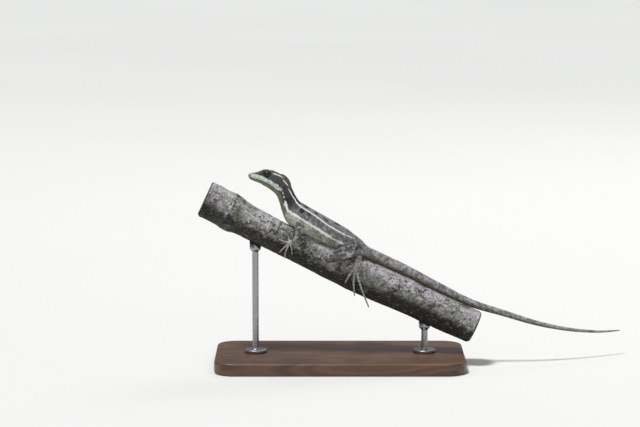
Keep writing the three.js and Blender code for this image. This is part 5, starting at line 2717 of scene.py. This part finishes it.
@dataclass(frozen=True)
class BoardFinish:
    """Oiled walnut with a fine open grain."""

    def made(self) -> bpy.types.Material:
        """Makes the material.

        Returns:
            The material.
        """
        paint = Paint("finish_walnut")
        place = paint.place()
        sway = paint.stretched(place, (0.16, 1.0, 1.0))
        figure = paint.noise(sway, 30.0, 2.0, 0.45)
        bands = (figure * 64.0).wave()
        pores = paint.noise(paint.stretched(place, (0.06, 1.0, 1.0)), 0.55, 3.0, 0.6)
        colour = paint.mix(tone(92, 63, 43), tone(70, 47, 33), bands.between(-0.9, 1.0))
        colour = paint.mix(colour, tone(34, 23, 17), 0.6 * pores.between(0.56, 0.7))
        colour = paint.mix(colour, tone(128, 92, 62), 0.2 * figure.between(0.4, 0.65))
        return paint.finish(
            Base_Color=colour,
            Roughness=0.36 + 0.2 * pores,
            Normal=paint.bump(1.0 - pores, 0.06, 0.4),
            Coat_Weight=0.15,
            Coat_Roughness=0.25,
        )


@dataclass(frozen=True)
class SteelFinish:
    """Turned and brushed steel."""

    def made(self) -> bpy.types.Material:
        """Makes the material.

        Returns:
            The material.
        """
        paint = Paint("finish_steel")
        brushed = paint.noise(paint.stretched(paint.place(), (0.12, 0.12, 5.0)), 1.2, 3.0, 0.6)
        colour = paint.mix(tone(176, 177, 179), tone(140, 141, 144), brushed.between(0.35, 0.7))
        return paint.finish(
            Base_Color=colour,
            Metallic=1.0,
            Roughness=0.26 + 0.16 * brushed,
            Normal=paint.bump(brushed, 0.02, 0.25),
        )


@dataclass(frozen=True)
class FloorFinish:
    """A plain pale floor."""

    def made(self) -> bpy.types.Material:
        """Makes the material.

        Returns:
            The material.
        """
        paint = Paint("finish_floor")
        cloudy = paint.noise(paint.place(), 900.0, 2.0)
        colour = paint.mix(tone(222, 221, 217), tone(214, 213, 209), cloudy)
        return paint.finish(Base_Color=colour, Roughness=0.9, Specular_IOR_Level=0.2)


# Floor, light and camera


@dataclass(frozen=True)
class Studio:
    """The floor, the soft lights and the camera, in metres and degrees."""

    aim: Triple = (-0.016, 0.0, 0.1228)
    elevation: float = 8.0
    distance: float = 2.0
    across: float = 0.512
    sensor: float = 36.0
    floor: float = 14.0
    key_from: Triple = (-0.42, -0.34, 1.5)
    key_strength: float = 3.3
    key_softness: float = 12.0
    key_colour: Triple = (0.965, 0.98, 1.0)
    lights: tuple[tuple[str, Triple, float, float], ...] = (
        ("light_fill", (0.5, -1.6, 0.9), 1.3, 5.0),
        ("light_back", (0.6, 1.2, 1.5), 0.8, 7.0),
    )
    sky: float = 0.24
    sky_colour: tuple[float, ...] = (0.9, 0.95, 1.0, 1.0)
    farthest: float = 60.0

    def build(self, finish: FloorFinish) -> None:
        """Adds floor, lights, sky and camera.

        Args:
            finish: The floor's finish.
        """
        signs = ((-1, -1, 0), (1, -1, 0), (1, 1, 0), (-1, 1, 0))
        mesh = mesh_of("floor", Shell(self.floor * np.array(signs, float), [np.array([[0, 1, 2, 3]])]))
        mesh.materials.append(finish.made())
        object_of("floor", mesh)
        aim = Vector(self.aim)
        for name, place, size, power in self.lights:
            light = bpy.data.lights.new(name, "AREA")
            light.size = size
            light.energy = power
            made = object_of(name, light)
            made.location = place
            made.rotation_euler = (Vector(place) - aim).to_track_quat("Z", "Y").to_euler()
        sun = bpy.data.lights.new("light_key", "SUN")
        sun.energy = self.key_strength
        sun.color = self.key_colour
        sun.angle = math.radians(self.key_softness)
        object_of("light_key", sun).rotation_euler = Vector(self.key_from).to_track_quat("Z", "Y").to_euler()
        world = bpy.data.worlds.new("studio_sky")
        world.use_nodes = True
        background = world.node_tree.nodes["Background"]
        background.inputs["Color"].default_value = self.sky_colour
        background.inputs["Strength"].default_value = self.sky
        bpy.context.scene.world = world
        bpy.context.scene.view_settings.view_transform = "Standard"
        camera = bpy.data.cameras.new("camera")
        camera.sensor_width = self.sensor
        camera.lens = self.sensor * self.distance / self.across
        camera.clip_end = self.farthest
        rise = math.radians(self.elevation)
        back = Vector((0.0, -math.cos(rise), math.sin(rise)))
        made = object_of("camera", camera)
        made.location = aim + back * self.distance
        made.rotation_euler = back.to_track_quat("Z", "Y").to_euler()
        bpy.context.scene.camera = made


def main() -> None:
    """Builds the whole scene round the CAD model."""
    logging.basicConfig(level=logging.INFO, format="%(name)s: %(message)s")
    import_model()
    Studio().build(FloorFinish())
    Stand().build(BoardFinish(), SteelFinish())
    PerchBranch(BRANCH).build(BarkFinish(), EndGrainFinish())
    lizard = Lizard()
    lizard.build_skin(SkinFinish())
    lizard.build_eyes(EyeFinish())
    lizard.build_scales(SkinFinish())
    lizard.build_claws(HornFinish())


if __name__ == "__main__":
    main()
